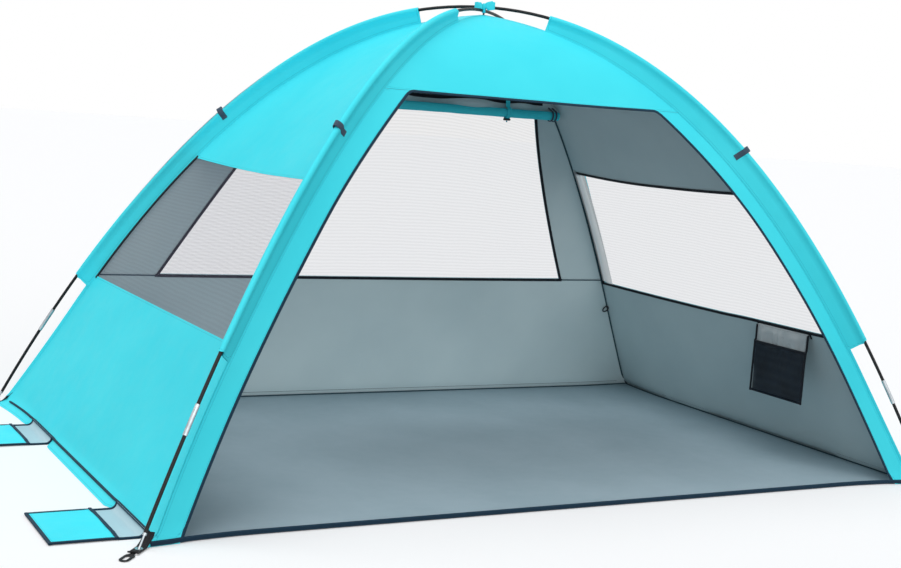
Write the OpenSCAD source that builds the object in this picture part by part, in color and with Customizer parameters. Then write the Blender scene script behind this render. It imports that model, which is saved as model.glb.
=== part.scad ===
// Dome beach shelter: a coated-cloth canopy hung from two crossed fibreglass poles in cloth sleeves, with an open
// front, mesh windows on three sides, a sewn-in floor, sand pockets and a rolled-up rear window cover.
// Frame: origin on the ground under the peak, +X right as seen from the open front, +Y to the rear wall, +Z up.

/* [Canopy] */
// Width of the floor between the side walls
floor_w = 2400; // [2200:10:2600]
// Depth of the floor from the sill to the rear wall
floor_d = 1500; // [1400:10:1650]
// Height of the canopy's peak above the ground
canopy_h = 1335; // [1250:5:1420]
// Bow of the canopy walls, where 2 is a parabola
canopy_bow = 2.08; // [1.9:0.02:2.2]
// Share of the canopy's fall that is an even pitch from the peak
peak_pitch = 0.12; // [0.06:0.01:0.16]
// Belly of the front and rear walls between corner and peak
plan_belly = 0.28; // [0.2:0.02:0.34]
// Thickness of the coated cloth
cloth_t = 1.5; // [1.2:0.1:2]
// Thickness of the floor sheet
floor_t = 1.5; // [1.2:0.1:2]

/* [Front opening] */
// Drop of the opening's top edge below the peak
opening_drop = 253; // [230:1:280]
// Width of the cloth strip between the opening and the corner seam
strip_w = 70; // [55:1:90]
// Size of the opening's rounded top corners
opening_corner = 28; // [20:1:45]

/* [Windows] */
// Height of the lower edge of the side windows
side_win_low = 436; // [400:2:470]
// Height of the upper edge of the side windows
side_win_high = 842; // [800:2:880]
// Height of the lower edge of the rear window
rear_win_low = 446; // [410:2:470]
// Drop of the rear window's upper edge below the peak
rear_win_drop = 267; // [255:1:290]
// Width of the cloth between the rear window and the corner seam, at the window's lower edge
rear_strip_low = 200; // [150:2:240]
// Width of the cloth between the rear window and the corner seam, at the window's upper edge
rear_strip_high = 74; // [60:1:90]
// Thickness of the window mesh
mesh_t = 0.8; // [0.6:0.1:1]

/* [Tape and piping] */
// Width of the tape round the opening, the windows and the sill
tape_w = 12; // [9:0.5:14]
// How far the tape stands proud of the cloth on each face
tape_proud = 0.6; // [0.4:0.1:1]
// Height of the hem piping above the ground
hem_z = 18; // [16:1:26]
// Thickness of the hem piping
piping_d = 6; // [5:0.5:7]
// Gap left at a sewn seam
seam = 0.3; // [0.3:0.05:0.5]

/* [Poles] */
// Thickness of the fibreglass rods
pole_d = 9.5; // [8.5:0.5:11]
// Bore of the fibreglass rods
pole_bore = 5.6; // [5.4:0.1:6]
// Bow of the poles, where 2 is a parabola
pole_bow = 2.05; // [2:0.01:2.1]
// Belly of the poles' plan between foot and crossing
pole_belly = 0.17; // [0.12:0.01:0.24]
// Height of the lower pole's axis above the canopy's peak
pole_rise = 12; // [11:0.5:18]
// Distance of the pole feet outside the floor corners, along the width
foot_out = 43; // [38:1:50]
// Distance of the pole feet outside the floor corners, along the depth
foot_fore = 50; // [44:1:56]
// Length of a full rod
rod_len = 510; // [470:5:550]
// Thickness of the steel ferrules
ferrule_d = 12; // [11.5:0.5:13]
// Length of the steel ferrules
ferrule_len = 80; // [60:2:90]
// Thickness of the elastic cord in the poles
cord_d = 2.4; // [2:0.1:2.8]
// Length of the bare foot tip below the last rod
tip_len = 42; // [34:1:50]
// Thickness of the foot tips
tip_d = 4.6; // [4.2:0.1:4.8]

/* [Pole sleeves] */
// Height of the sleeves' lower ends on the corner seams
sleeve_low = 420; // [380:2:460]
// Drop of the sleeves' upper ends below the peak
sleeve_drop = 36; // [32:1:50]
// Width of the tunnel that the pole runs in
tunnel_d = 20; // [18:0.5:22]
// Thickness of the sleeve cloth
sleeve_t = 1.2; // [1:0.1:1.5]
// Drop of the guy loops below the peak
guy_drop = 393; // [350:1:430]
// Width of the guy loop webbing
guy_w = 18; // [14:1:22]
// How far the guy loops stand clear of the sleeves
guy_gap = 9; // [8:1:14]

/* [Corner straps] */
// Width of the corner straps
strap_w = 26; // [24:1:30]
// Thickness of the webbing
webbing_t = 2; // [1.6:0.1:2.4]
// Height of the straps' sewn ends on the corner seams
strap_rise = 34; // [28:1:40]
// Bore of the eyelets
eyelet_bore = 10; // [9.5:0.1:11]
// Width of the eyelets' flanges
eyelet_d = 19; // [18:0.5:21]
// Length of the stake loops
stake_loop_l = 58; // [50:1:66]
// Width of the stake loops
stake_loop_w = 24; // [22:1:26]
// Length of the slot in a stake loop
stake_slot_l = 32; // [26:1:36]
// Width of the slot in a stake loop
stake_slot_w = 12; // [10:0.5:13]

/* [Sand pockets] */
// Length of a sand pocket along the wall
sand_l = 250; // [220:5:280]
// Reach of a sand pocket from the hem
sand_reach = 228; // [200:2:250]
// Distance of the pocket's mouth from the hem
sand_mouth = 70; // [60:1:80]
// Height inside a sand pocket
sand_gap = 6; // [5:0.5:8]
// Distance of the front pockets from the floor's front edge
sand_front_in = 35; // [30:1:80]
// Distance of the rear pockets from the floor's rear edge
sand_rear_in = 290; // [200:5:330]
// Width of the tape round a pocket
pocket_tape = 10; // [8:0.5:12]
// Thickness of the pocket cloth
pocket_t = 1.2; // [1:0.1:1.5]

/* [Hanging pocket] */
// Length of the hanging pocket along the wall
hang_l = 250; // [220:5:280]
// Drop of the hanging pocket from its piping
hang_drop = 222; // [200:2:240]
// Height of the pocket's piping above the ground
hang_z = 416; // [400:1:420]
// Thickness of the pocket's piping
hang_piping_d = 4; // [3.5:0.5:5]
// Middle of the pocket, from the peak towards the front
hang_front = 379; // [340:2:420]
// Depth inside the pocket
hang_gap = 8; // [6:0.5:10]
// Drop of the mesh's top edge below the piping
hang_mesh_drop = 50; // [44:2:75]

/* [Window cover] */
// Gap between the ends of the roll and the side walls
roll_end_gap = 6; // [5:1:12]
// Thickness of the roll
roll_d = 36; // [32:1:38]
// Drop of the roll's middle below the window's upper edge
roll_drop = 18; // [12:1:24]
// Turns in the roll
roll_turns = 3; // [3:1:4]
// Thickness of the cover cloth
cover_t = 1.4; // [1.2:0.1:1.6]
// Width of the ties round the roll
tie_w = 16; // [12:1:20]
// Distance of the toggled ties from the middle
tie_inner = 300; // [280:5:330]
// Distance of the end ties from the ends of the roll
tie_end = 78; // [74:1:90]
// Thickness of the toggles
toggle_d = 8; // [7:0.5:9]
// Length of the toggles
toggle_l = 28; // [24:1:32]
// Thickness of the toggle cords
toggle_cord = 2.6; // [2.4:0.1:3]

/* [Loops and hub tie] */
// Height of the cord loops on the rear corner seams
loop_z = 335; // [310:5:360]
// Width of the cord loops
loop_d = 22; // [20:1:26]
// Thickness of the loop cord
loop_cord = 3.6; // [3.2:0.1:4]
// Width of the hub tie's cloth strip
hub_tie_w = 16; // [12:1:20]
// Length of each bow of the hub tie
bow_l = 34; // [28:1:40]
// Height of the bows of the hub tie
bow_h = 16; // [14:1:20]

/* [View] */
// Piece to show, or all

/* [Hidden] */

half_w = floor_w / 2;
half_d = floor_d / 2;
opening_top = canopy_h - opening_drop;
rear_win_high = canopy_h - rear_win_drop;
sleeve_high = canopy_h - sleeve_drop;
guy_z = canopy_h - guy_drop;
roll_z = rear_win_high - roll_drop;
sand_front = half_d - sand_front_in - sand_l / 2;
sand_rear = half_d - sand_rear_in - sand_l / 2;
reach = 2 * max(floor_w, floor_d, canopy_h);
wall_steps = 25;
wall_step = 0.041;
$fn = 32;

turquoise = [0.25, 0.82, 0.88];
slate = [0.42, 0.5, 0.53];
pale = [0.75, 0.84, 0.85];
mesh_grey = [0.85, 0.88, 0.9];
navy = [0.12, 0.22, 0.3];
black = [0.07, 0.07, 0.08];
steel = [0.75, 0.78, 0.8];

// Canopy shape: s runs from 0 at the peak to 1 at the ground
function unit(v) = v / norm(v);
function rise(s) = canopy_h * (1 - peak_pitch * s - (1 - peak_pitch) * pow(s, canopy_bow));
rise_table = [for (i = [440 : -1 : 0]) [rise(i / 400), i / 400]];
function canopy_s(z) = lookup(z, rise_table);
function plan_y(x) = half_d / half_w * x * (1 + plan_belly * (1 - x / half_w));
function plan_slope(x) = half_d / half_w * (1 + plan_belly * (1 - 2 * x / half_w));
function fall(s) = canopy_h * (peak_pitch + (1 - peak_pitch) * canopy_bow * pow(s, canopy_bow - 1));
function side_normal(s) = unit([fall(s), half_w]);
function end_normal(s) = unit([fall(s), half_w * plan_slope(half_w * s)]);
function below(point, depth, normal) =
    point[0] == 0 ? point - [0, depth / normal[1]] : point - depth * normal;
function side_point(s, depth) = below([half_w * s, rise(s)], depth, side_normal(s));
function end_point(s, depth) = below([plan_y(half_w * s), rise(s)], depth, end_normal(s));

// Inner face of a wall at a height, at a depth below the cloth's outer face
function side_in(z, depth) = let (s = canopy_s(z)) half_w * s - depth / side_normal(s)[0];
function end_in(z, depth) = let (s = canopy_s(z)) plan_y(half_w * s) - depth / end_normal(s)[0];
function opening_x(z) = half_w * canopy_s(z) - strip_w;

stations = [for (i = [0 : wall_steps]) i * wall_step];
function side_line(depth) = [for (s = stations) side_point(s, depth)];
function end_line(depth) = [for (s = stations) end_point(s, depth)];
function flipped(line) = [for (p = line) [-p[0], p[1]]];
function reversed(line) = [for (i = [len(line) - 1 : -1 : 0]) line[i]];
function arch(line) = concat(reversed(line), [for (i = [1 : len(line) - 1]) [-line[i][0], line[i][1]]]);

// Pole shape: u runs from 0 at the crossing to 1 at the ground
foot_x = half_w + foot_out;
foot_y = half_d + foot_fore;
lower_top = canopy_h + pole_rise;
upper_top = lower_top + pole_d + 1;
function turn(u) = u < 0 ? -1 : 1;
function pole_point(u, top) =
    let (a = abs(u)) [foot_x * u, foot_y * u * (1 + pole_belly * (1 - a)), top * (1 - pow(a, pole_bow))];
function pole_dir(u, top) = unit(pole_point(u + 0.002, top) - pole_point(u - 0.002, top));
arc_steps = 160;
arc_points = [for (i = [0 : arc_steps]) pole_point(i / arc_steps, lower_top)];
arc_lengths = [for (i = 0, a = 0; i <= arc_steps;
    a = a + (i < arc_steps ? norm(arc_points[i + 1] - arc_points[i]) : 0), i = i + 1) a];
arc_table = [for (i = [0 : arc_steps]) [arc_lengths[i], i / arc_steps]];
half_len = arc_lengths[arc_steps];
function u_at(len) = turn(len) * lookup(abs(len), arc_table);
pole_end = half_len - tip_len;
grip = ferrule_len / 2;
joint_count = floor((pole_end - 150) / rod_len + 0.5);
half_joints = [for (j = [0 : joint_count - 1]) (j + 0.5) * rod_len];
joints = concat([for (j = reversed(half_joints)) -j], half_joints);
rod_ends = concat([-pole_end], joints, [pole_end]);

// Pole foot in the corner at +X +Y
foot_end = pole_point(u_at(pole_end), lower_top);
foot_dir = unit(foot_end - pole_point(u_at(pole_end - grip), lower_top));
strap_low = 2.2;
strap_mid = strap_low + webbing_t / 2;
foot_at = foot_end + foot_dir * (foot_end[2] - strap_mid) / -foot_dir[2];
out_dir = unit([foot_at[0] - half_w, foot_at[1] - half_d]);
strap_end = 31;
strap_notch = 14;
strap_hem_d = 4;
strap_hem_z = strap_low + 2.6;
function ridge_back(z) =
    let (s = canopy_s(z)) (half_w * s - foot_at[0]) * out_dir[0] + (plan_y(half_w * s) - foot_at[1]) * out_dir[1];

// Sleeve shape on the corner seam, on the same straight steps as the cloth
sleeve_lean = 0.04;
sleeve_seam = 1.6;
tunnel_r = tunnel_d / 2;
tunnel_out = tunnel_r + sleeve_t;
function ridge_at(s) = [half_w * s, plan_y(half_w * s), rise(s)];
function ridge_step(s) =
    let (i = floor(s / wall_step), f = s / wall_step - i)
    ridge_at(i * wall_step) * (1 - f) + ridge_at((i + 1) * wall_step) * f;
function sleeve_pole(s, top) = pole_point(s + sleeve_lean * s * (1 - s), top);
function sleeve_up(s, top) = unit(sleeve_pole(s, top) - ridge_step(s));
function sleeve_high_at(s, top) = norm(sleeve_pole(s, top) - ridge_step(s));
function sleeve_across(s) = unit([plan_slope(half_w * s), -1, 0]);
sleeve_from = canopy_s(sleeve_high);
sleeve_to = canopy_s(sleeve_low);
sleeve_stations = concat([sleeve_from],
    [for (s = stations) if (s > sleeve_from + 0.005 && s < sleeve_to - 0.005) s], [sleeve_to]);

// Hem and pocket hinges
piping_r = piping_d / 2;
wrap_gap = 0.35;
sand_wrap = piping_r + wrap_gap;
hem_off = sand_wrap + pocket_t + 0.4;
hem_x = half_w * canopy_s(hem_z) + hem_off;
hem_y = plan_y(half_w * canopy_s(hem_z)) + hem_off;
sand_bend = hem_z - pocket_t;
sand_lid = pocket_t + sand_gap;
sand_top = sand_lid + pocket_t + 0.6;
hang_wrap = hang_piping_d / 2 + wrap_gap;
hang_face = hang_wrap + pocket_t;
hang_x = side_in(hang_z + hang_face, cloth_t) - hang_face - 0.6;

// Rolled cover at the top of the rear window
roll_r = roll_d / 2;
tie_t = 1.2;
cover_seam_z = rear_win_high + tape_w + 35;
tie_seam_z = cover_seam_z + 12;
cover_y = end_in(cover_seam_z, cloth_t) - cover_t / 2 - 0.4;
roll_y = cover_y - roll_r + cover_t / 2;
roll_half = side_in(roll_z + roll_r, cloth_t) - roll_end_gap;
tie_r = roll_r + cover_t / 2 + 0.6;
toggle_z = roll_z - tie_r - tie_t - toggle_d / 2 - 1.2;

// Shared shapes

// Cloth layer of the side walls between two depths below the outer face
module side_layer(depth_a, depth_b) {
    rotate([90, 0, 0])
        linear_extrude(height = reach, center = true)
            polygon(concat(arch(side_line(depth_a)), reversed(arch(side_line(depth_b)))));
}

// Cloth layer of the front and rear walls between two depths below the outer face
module end_layer(depth_a, depth_b) {
    rotate([90, 0, 90])
        linear_extrude(height = reach, center = true)
            polygon(concat(arch(end_line(depth_a)), reversed(arch(end_line(depth_b)))));
}

// Space under the side walls at a depth
module under_sides(depth) {
    rotate([90, 0, 0])
        linear_extrude(height = reach, center = true)
            polygon(arch(side_line(depth)));
}

// Space under the front and rear walls at a depth
module under_ends(depth) {
    rotate([90, 0, 90])
        linear_extrude(height = reach, center = true)
            polygon(arch(end_line(depth)));
}

// Slab of space: a side of the peak plane along X or Y, between two heights
module front_of(z_low, z_high) {
    translate([-reach / 2, -reach - seam / 2, z_low])
        cube([reach, reach, z_high - z_low]);
}

module behind(z_low, z_high) {
    translate([-reach / 2, seam / 2, z_low])
        cube([reach, reach, z_high - z_low]);
}

module right_of(z_low, z_high) {
    translate([seam / 2, -reach / 2, z_low])
        cube([reach, reach, z_high - z_low]);
}

// Prism along Y over an outline drawn in X and Z
module through_end(outline) {
    rotate([90, 0, 0])
        linear_extrude(height = reach, center = true)
            polygon(outline);
}

function bend(a, b, c) = [for (t = [0 : 0.2 : 1]) a * pow(1 - t, 2) + b * 2 * t * (1 - t) + c * t * t];

// Outline of the front opening, grown by a margin
function opening_side(grow) =
    let (top = opening_top + grow, r = opening_corner)
    concat(
        [[opening_x(0) + grow, -60]],
        [for (f = [0 : 1 / 14 : 1.001]) let (z = (top - r - 40) * f) [opening_x(z) + grow, z]],
        bend([opening_x(top - r) + grow, top - r], [opening_x(top) + grow, top],
            [opening_x(top) + grow - r, top])
    );
function opening_outline(grow) = concat(opening_side(grow), reversed(flipped(opening_side(grow))));

// Outline of the rear window, grown by a margin
function rear_window_outline(grow) =
    let (
        wide = half_w * canopy_s(rear_win_low) - rear_strip_low,
        narrow = half_w * canopy_s(rear_win_high) - rear_strip_high,
        slope = (wide - narrow) / (rear_win_high - rear_win_low),
        side = grow * sqrt(1 + slope * slope),
        low = rear_win_low - grow,
        high = rear_win_high + grow,
        low_x = wide + slope * grow + side,
        high_x = narrow - slope * grow + side
    )
    [[-low_x, low], [low_x, low], [high_x, high], [-high_x, high]];

// Closed skin over rings of points; a ring's second half runs back along its first half
function skin(count, n, start) = [
    for (j = [0 : count - 2], i = [0 : n - 1])
        let (a = start + j * n + i, b = start + j * n + (i + 1) % n)
        each [[a, b, b + n], [a, b + n, a + n]]
];
function ribbon_cap(n, start) = [
    for (i = [0 : n / 2 - 2])
        let (a = start + i, b = start + n - 1 - i)
        each [[a, b, b - 1], [a, b - 1, a + 1]]
];
function turned(faces) = [for (f = faces) [f[2], f[1], f[0]]];

module ribbon_sweep(rings) {
    n = len(rings[0]);
    m = len(rings);
    polyhedron(
        points = [for (r = rings) each r],
        faces = concat(skin(m, n, 0), ribbon_cap(n, 0), turned(ribbon_cap(n, (m - 1) * n)))
    );
}

// Ring of points round the pole at a length from the crossing
function pole_ring(len, r, top, n) =
    let (
        u = u_at(len),
        dir = pole_dir(u, top),
        across = unit(cross(dir, [0, 0, 1])),
        up = cross(across, dir)
    )
    [for (i = [0 : n - 1]) pole_point(u, top) + r * (cos(360 * i / n) * up + sin(360 * i / n) * across)];

module pole_tube(lengths, r_out, r_in, top) {
    n = 8;
    m = len(lengths);
    outer = [for (len = lengths) each pole_ring(len, r_out, top, n)];
    inner = [for (len = lengths) each pole_ring(len, r_in, top, n)];
    far = (m - 1) * n;
    polyhedron(
        points = concat(outer, inner),
        faces = concat(
            skin(m, n, 0),
            turned(skin(m, n, m * n)),
            [for (i = [0 : n - 1]) let (k = (i + 1) % n) each [[i, m * n + i, m * n + k], [i, m * n + k, k]]],
            [for (i = [0 : n - 1]) let (k = (i + 1) % n)
                each [[far + i, far + k, m * n + far + k], [far + i, m * n + far + k, m * n + far + i]]]
        )
    );
}

module pole_strand(lengths, r, top) {
    n = 6;
    m = len(lengths);
    polyhedron(
        points = [for (len = lengths) each pole_ring(len, r, top, n)],
        faces = concat(
            skin(m, n, 0),
            [for (i = [1 : n - 2]) [0, i + 1, i]],
            [for (i = [1 : n - 2]) [(m - 1) * n, (m - 1) * n + i, (m - 1) * n + i + 1]]
        )
    );
}

// Lengths of the rings of a rod: its two ends, the ferrule grips and even steps between
function rod_rings(a, b) =
    let (from = a + 0.4, to = b - 0.4, steps = 4)
    concat([from],
        [for (i = [0 : steps]) (a + grip) + (b - a - 2 * grip) * i / steps],
        [to]);

module pole_rods(top) {
    for (i = [0 : len(rod_ends) - 2])
        pole_tube(rod_rings(rod_ends[i], rod_ends[i + 1]), pole_d / 2, pole_bore / 2, top);
}

// Copy in the corner with the given signs of X and Y
module in_corner(x_sign, y_sign) {
    mirror([x_sign < 0 ? 1 : 0, 0, 0])
        mirror([0, y_sign < 0 ? 1 : 0, 0])
            children();
}

module in_all_corners() {
    for (x_sign = [-1, 1], y_sign = [-1, 1])
        in_corner(x_sign, y_sign)
            children();
}

// Frame with the given origin and axes
module on_axes(o, x, y, z) {
    multmatrix([
        [x[0], y[0], z[0], o[0]],
        [x[1], y[1], z[1], o[1]],
        [x[2], y[2], z[2], o[2]],
        [0, 0, 0, 1]
    ])
        children();
}

// Frame of a corner strap: origin on the ground under the eyelet, X outwards
module on_strap() {
    on_axes([foot_at[0], foot_at[1], 0], [out_dir[0], out_dir[1], 0], [-out_dir[1], out_dir[0], 0], [0, 0, 1])
        children();
}

// Strip of cloth with a given profile in X and Z, centred on Y
module strip_along_y(outline, width) {
    rotate([90, 0, 0])
        linear_extrude(height = width, center = true)
            polygon(outline);
}

function arc(r, from, to, steps) =
    [for (i = [0 : steps]) let (a = from + (to - from) * i / steps) [r * cos(a), r * sin(a)]];
function moved(line, by) = [for (p = line) p + by];

// Canopy cloth

module front_header() {
    color(turquoise)
        difference() {
            intersection() {
                end_layer(0, cloth_t);
                under_sides(0);
                front_of(opening_top, canopy_h + 20);
            }
            through_end(opening_outline(tape_w + seam));
        }
}

module front_strip() {
    difference() {
        intersection() {
            end_layer(0, cloth_t);
            under_sides(0);
            front_of(0, opening_top - seam);
            right_of(-1, canopy_h);
        }
        through_end(opening_outline(tape_w + seam));
    }
}

module front_left_strip() {
    color(turquoise)
        mirror([1, 0, 0])
            front_strip();
}

module front_right_strip() {
    color(turquoise)
        front_strip();
}

// Part of the right side wall between two heights
module side_panel(z_low, z_high) {
    intersection() {
        side_layer(0, cloth_t);
        under_ends(cloth_t + seam);
        right_of(z_low, z_high);
    }
}

module side_window() {
    intersection() {
        side_layer((cloth_t - mesh_t) / 2, (cloth_t + mesh_t) / 2);
        under_ends(cloth_t + 2 * seam + tape_w);
        right_of(side_win_low + seam, side_win_high - seam);
    }
}

module side_tape() {
    difference() {
        intersection() {
            side_layer(-tape_proud, cloth_t + tape_proud);
            under_ends(cloth_t + seam);
            right_of(side_win_low - tape_w, side_win_high + tape_w);
        }
        intersection() {
            under_ends(cloth_t + seam + tape_w);
            right_of(side_win_low, side_win_high);
        }
    }
}

module upper_side_panel() {
    side_panel(side_win_high + tape_w + seam, canopy_h + 20);
}

module lower_side_panel() {
    side_panel(0, side_win_low - tape_w - seam);
}

module left_upper_panel() {
    color(turquoise)
        mirror([1, 0, 0])
            upper_side_panel();
}

module right_upper_panel() {
    color(turquoise)
        upper_side_panel();
}

module left_lower_panel() {
    color(turquoise)
        mirror([1, 0, 0])
            lower_side_panel();
}

module right_lower_panel() {
    color(turquoise)
        lower_side_panel();
}

module left_window_mesh() {
    color(mesh_grey)
        mirror([1, 0, 0])
            side_window();
}

module right_window_mesh() {
    color(mesh_grey)
        side_window();
}

module left_window_tape() {
    color(black)
        mirror([1, 0, 0])
            side_tape();
}

// The right tape carries the piping that the pocket hangs from
module right_window_tape() {
    color(black) {
        side_tape();
        translate([hang_x, -hang_front - hang_l / 2, hang_z])
            rotate([-90, 0, 0])
                cylinder(d = hang_piping_d, h = hang_l);
        translate([hang_x, -hang_front - hang_l / 2, hang_z - 0.4])
            cube([side_in(hang_z + 0.4, cloth_t) - seam - hang_x, hang_l, 0.8]);
    }
}

module rear_upper_panel() {
    color(turquoise)
        intersection() {
            end_layer(0, cloth_t);
            under_sides(0);
            behind(rear_win_high + tape_w + seam, canopy_h + 20);
        }
}

module rear_strip() {
    difference() {
        intersection() {
            end_layer(0, cloth_t);
            under_sides(0);
            behind(rear_win_low - tape_w, rear_win_high + tape_w);
            right_of(-1, canopy_h);
        }
        through_end(rear_window_outline(tape_w + seam));
    }
}

module rear_left_strip() {
    color(turquoise)
        mirror([1, 0, 0])
            rear_strip();
}

module rear_right_strip() {
    color(turquoise)
        rear_strip();
}

module rear_lower_panel() {
    color(turquoise)
        intersection() {
            end_layer(0, cloth_t);
            under_sides(0);
            behind(0, rear_win_low - tape_w - seam);
        }
}

module rear_window_mesh() {
    color(mesh_grey)
        intersection() {
            end_layer((cloth_t - mesh_t) / 2, (cloth_t + mesh_t) / 2);
            behind(0, canopy_h);
            through_end(rear_window_outline(-seam));
        }
}

module rear_window_tape() {
    color(black)
        difference() {
            intersection() {
                end_layer(-tape_proud, cloth_t + tape_proud);
                behind(0, canopy_h);
                through_end(rear_window_outline(tape_w));
            }
            through_end(rear_window_outline(0));
        }
}

module opening_tape() {
    color(navy)
        difference() {
            intersection() {
                end_layer(-tape_proud, cloth_t + tape_proud);
                front_of(2 * floor_t + 2, canopy_h);
                through_end(opening_outline(tape_w));
            }
            through_end(opening_outline(0));
        }
}

floor_x = side_in(floor_t, cloth_t) - seam;
floor_y = end_in(floor_t, cloth_t) - seam;

module floor_sheet() {
    color(slate)
        translate([-floor_x, -floor_y + tape_w + seam, 0])
            cube([2 * floor_x, 2 * floor_y - tape_w - seam, floor_t]);
}

module sill_tape() {
    sill_x = opening_x(0) - 1;
    color(navy)
        translate([-sill_x, -floor_y, 0])
            cube([2 * sill_x, tape_w, 2 * floor_t]);
}

// Round piping along the hem of the side and rear walls, each on a thin sewn flange
module hem_piping() {
    side_l = 2 * (half_d - 45);
    rear_l = 2 * (half_w - 45);
    color(navy) {
        for (x_sign = [-1, 1])
            in_corner(x_sign, 1) {
                translate([hem_x, -side_l / 2, hem_z])
                    rotate([-90, 0, 0])
                        cylinder(d = piping_d, h = side_l);
                translate([hem_x - hem_off + seam, -side_l / 2, hem_z - 0.5])
                    cube([hem_off - seam, side_l, 1]);
            }
        translate([-rear_l / 2, hem_y, hem_z])
            rotate([0, 90, 0])
                cylinder(d = piping_d, h = rear_l);
        translate([-rear_l / 2, hem_y - hem_off + seam, hem_z - 0.5])
            cube([rear_l, hem_off - seam, 1]);
    }
}

// Poles and sleeves

module lower_pole_rods() {
    color(black)
        pole_rods(lower_top);
}

module upper_pole_rods() {
    color(black)
        mirror([1, 0, 0])
            pole_rods(upper_top);
}

module ferrules(top) {
    for (j = joints)
        pole_tube([j - grip, j, j + grip], ferrule_d / 2, pole_d / 2 + 0.35, top);
}

module pole_ferrules() {
    color(steel) {
        ferrules(lower_top);
        mirror([1, 0, 0])
            ferrules(upper_top);
    }
}

module pole_cord(top) {
    cord_end = pole_end - 40;
    steps = 2 * ceil(cord_end / 64);
    pole_strand([for (i = [0 : steps]) -cord_end + 2 * cord_end * i / steps], cord_d / 2, top);
}

module pole_cords() {
    color(pale) {
        pole_cord(lower_top);
        mirror([1, 0, 0])
            pole_cord(upper_top);
    }
}

// Steel pin in the end of the last rod, with a collar under the rod
module foot_tip(top) {
    end = pole_point(u_at(pole_end), top);
    dir = unit(end - pole_point(u_at(pole_end - grip), top));
    across = unit(cross(dir, [0, 0, 1]));
    pin = (end[2] - 1.3) / -dir[2];
    on_axes(end, across, cross(dir, across), dir) {
        translate([0, 0, -22])
            cylinder(d = tip_d, h = pin + 22);
        translate([0, 0, 0.2])
            cylinder(d = pole_d, h = 6);
    }
}

module foot_tips() {
    color(steel)
        in_all_corners()
            foot_tip(lower_top);
}

// Sleeve cross-section at a place on the corner seam: a folded cloth round the pole, open at the seam
function sleeve_ring(s, top) =
    let (
        base = ridge_step(s),
        up = sleeve_up(s, top),
        across = sleeve_across(s),
        high = sleeve_high_at(s, top),
        outer = concat([[seam, sleeve_seam]], moved(arc(tunnel_out, 90, -90, 8), [high, 0]), [[seam, -sleeve_seam]]),
        inner = concat([[seam, -sleeve_seam + sleeve_t]], moved(arc(tunnel_r, -90, 90, 8), [high, 0]),
            [[seam, sleeve_seam - sleeve_t]])
    )
    [for (p = concat(outer, inner)) base + p[0] * up + p[1] * across];

module sleeve(top) {
    ribbon_sweep([for (s = sleeve_stations) sleeve_ring(s, top)]);
}

module front_left_sleeve() {
    color(turquoise)
        in_corner(-1, -1)
            sleeve(lower_top);
}

module front_right_sleeve() {
    color(turquoise)
        in_corner(1, -1)
            sleeve(upper_top);
}

module rear_left_sleeve() {
    color(turquoise)
        in_corner(-1, 1)
            sleeve(upper_top);
}

module rear_right_sleeve() {
    color(turquoise)
        in_corner(1, 1)
            sleeve(lower_top);
}

// Webbing folded over the sleeve's outer edge, standing clear of it as a loop
module guy_loop(top) {
    s = canopy_s(guy_z);
    up = sleeve_up(s, top);
    across = sleeve_across(s);
    high = sleeve_high_at(s, top);
    low = 6;
    off = 0.8;
    side = sleeve_seam + (tunnel_out - sleeve_seam) * (low - seam) / (high - seam);
    inner_r = tunnel_out + off;
    crown = [for (i = [0 : 12]) let (a = 90 - 15 * i)
        [high + (inner_r + guy_gap) * cos(a), inner_r * sin(a)]];
    crown_out = [for (i = [0 : 12]) let (a = -90 + 15 * i)
        [high + (inner_r + guy_gap + webbing_t) * cos(a), (inner_r + webbing_t) * sin(a)]];
    color([0.3, 0.36, 0.42])
        on_axes(ridge_step(s), up, across, cross(up, across))
            linear_extrude(height = guy_w, center = true)
                polygon(concat([[low, side + off]], crown, [[low, -side - off], [low, -side - off - webbing_t]],
                    crown_out, [[low, side + off + webbing_t]]));
}

module guy_loops() {
    in_corner(-1, -1)
        guy_loop(lower_top);
    in_corner(1, 1)
        guy_loop(lower_top);
    in_corner(1, -1)
        guy_loop(upper_top);
    in_corner(-1, 1)
        guy_loop(upper_top);
}

// Cloth strip tied round the crossing, with a bow on each side and a foot sewn to the peak
module hub_tie() {
    t = 2;
    low = lower_top - pole_d / 2 - 1.2;
    high = upper_top + pole_d / 2 + 1.2;
    half = 1.3 * hub_tie_w + pole_d;
    color(turquoise)
        translate([0, hub_tie_w / 2, 0])
            rotate([90, 0, 0])
                linear_extrude(height = hub_tie_w) {
                    difference() {
                        translate([-half - t, low - t])
                            square([2 * half + 2 * t, high - low + 2 * t]);
                        translate([-half, low])
                            square([2 * half, high - low]);
                    }
                    translate([-6, canopy_h + seam])
                        square([12, low - t / 2 - canopy_h - seam]);
                    translate([-8, high])
                        square([16, 10]);
                    for (x_sign = [-1, 1])
                        translate([x_sign * bow_l / 2, high + 6])
                            difference() {
                                polygon([for (a = [0 : 15 : 345]) [bow_l / 2 * cos(a), bow_h / 2 * sin(a)]]);
                                polygon([for (a = [0 : 15 : 345])
                                    [(bow_l / 2 - t) * cos(a), (bow_h / 2 - t) * sin(a)]]);
                            }
                }
}

// Corner straps, eyelets and stake loops

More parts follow.
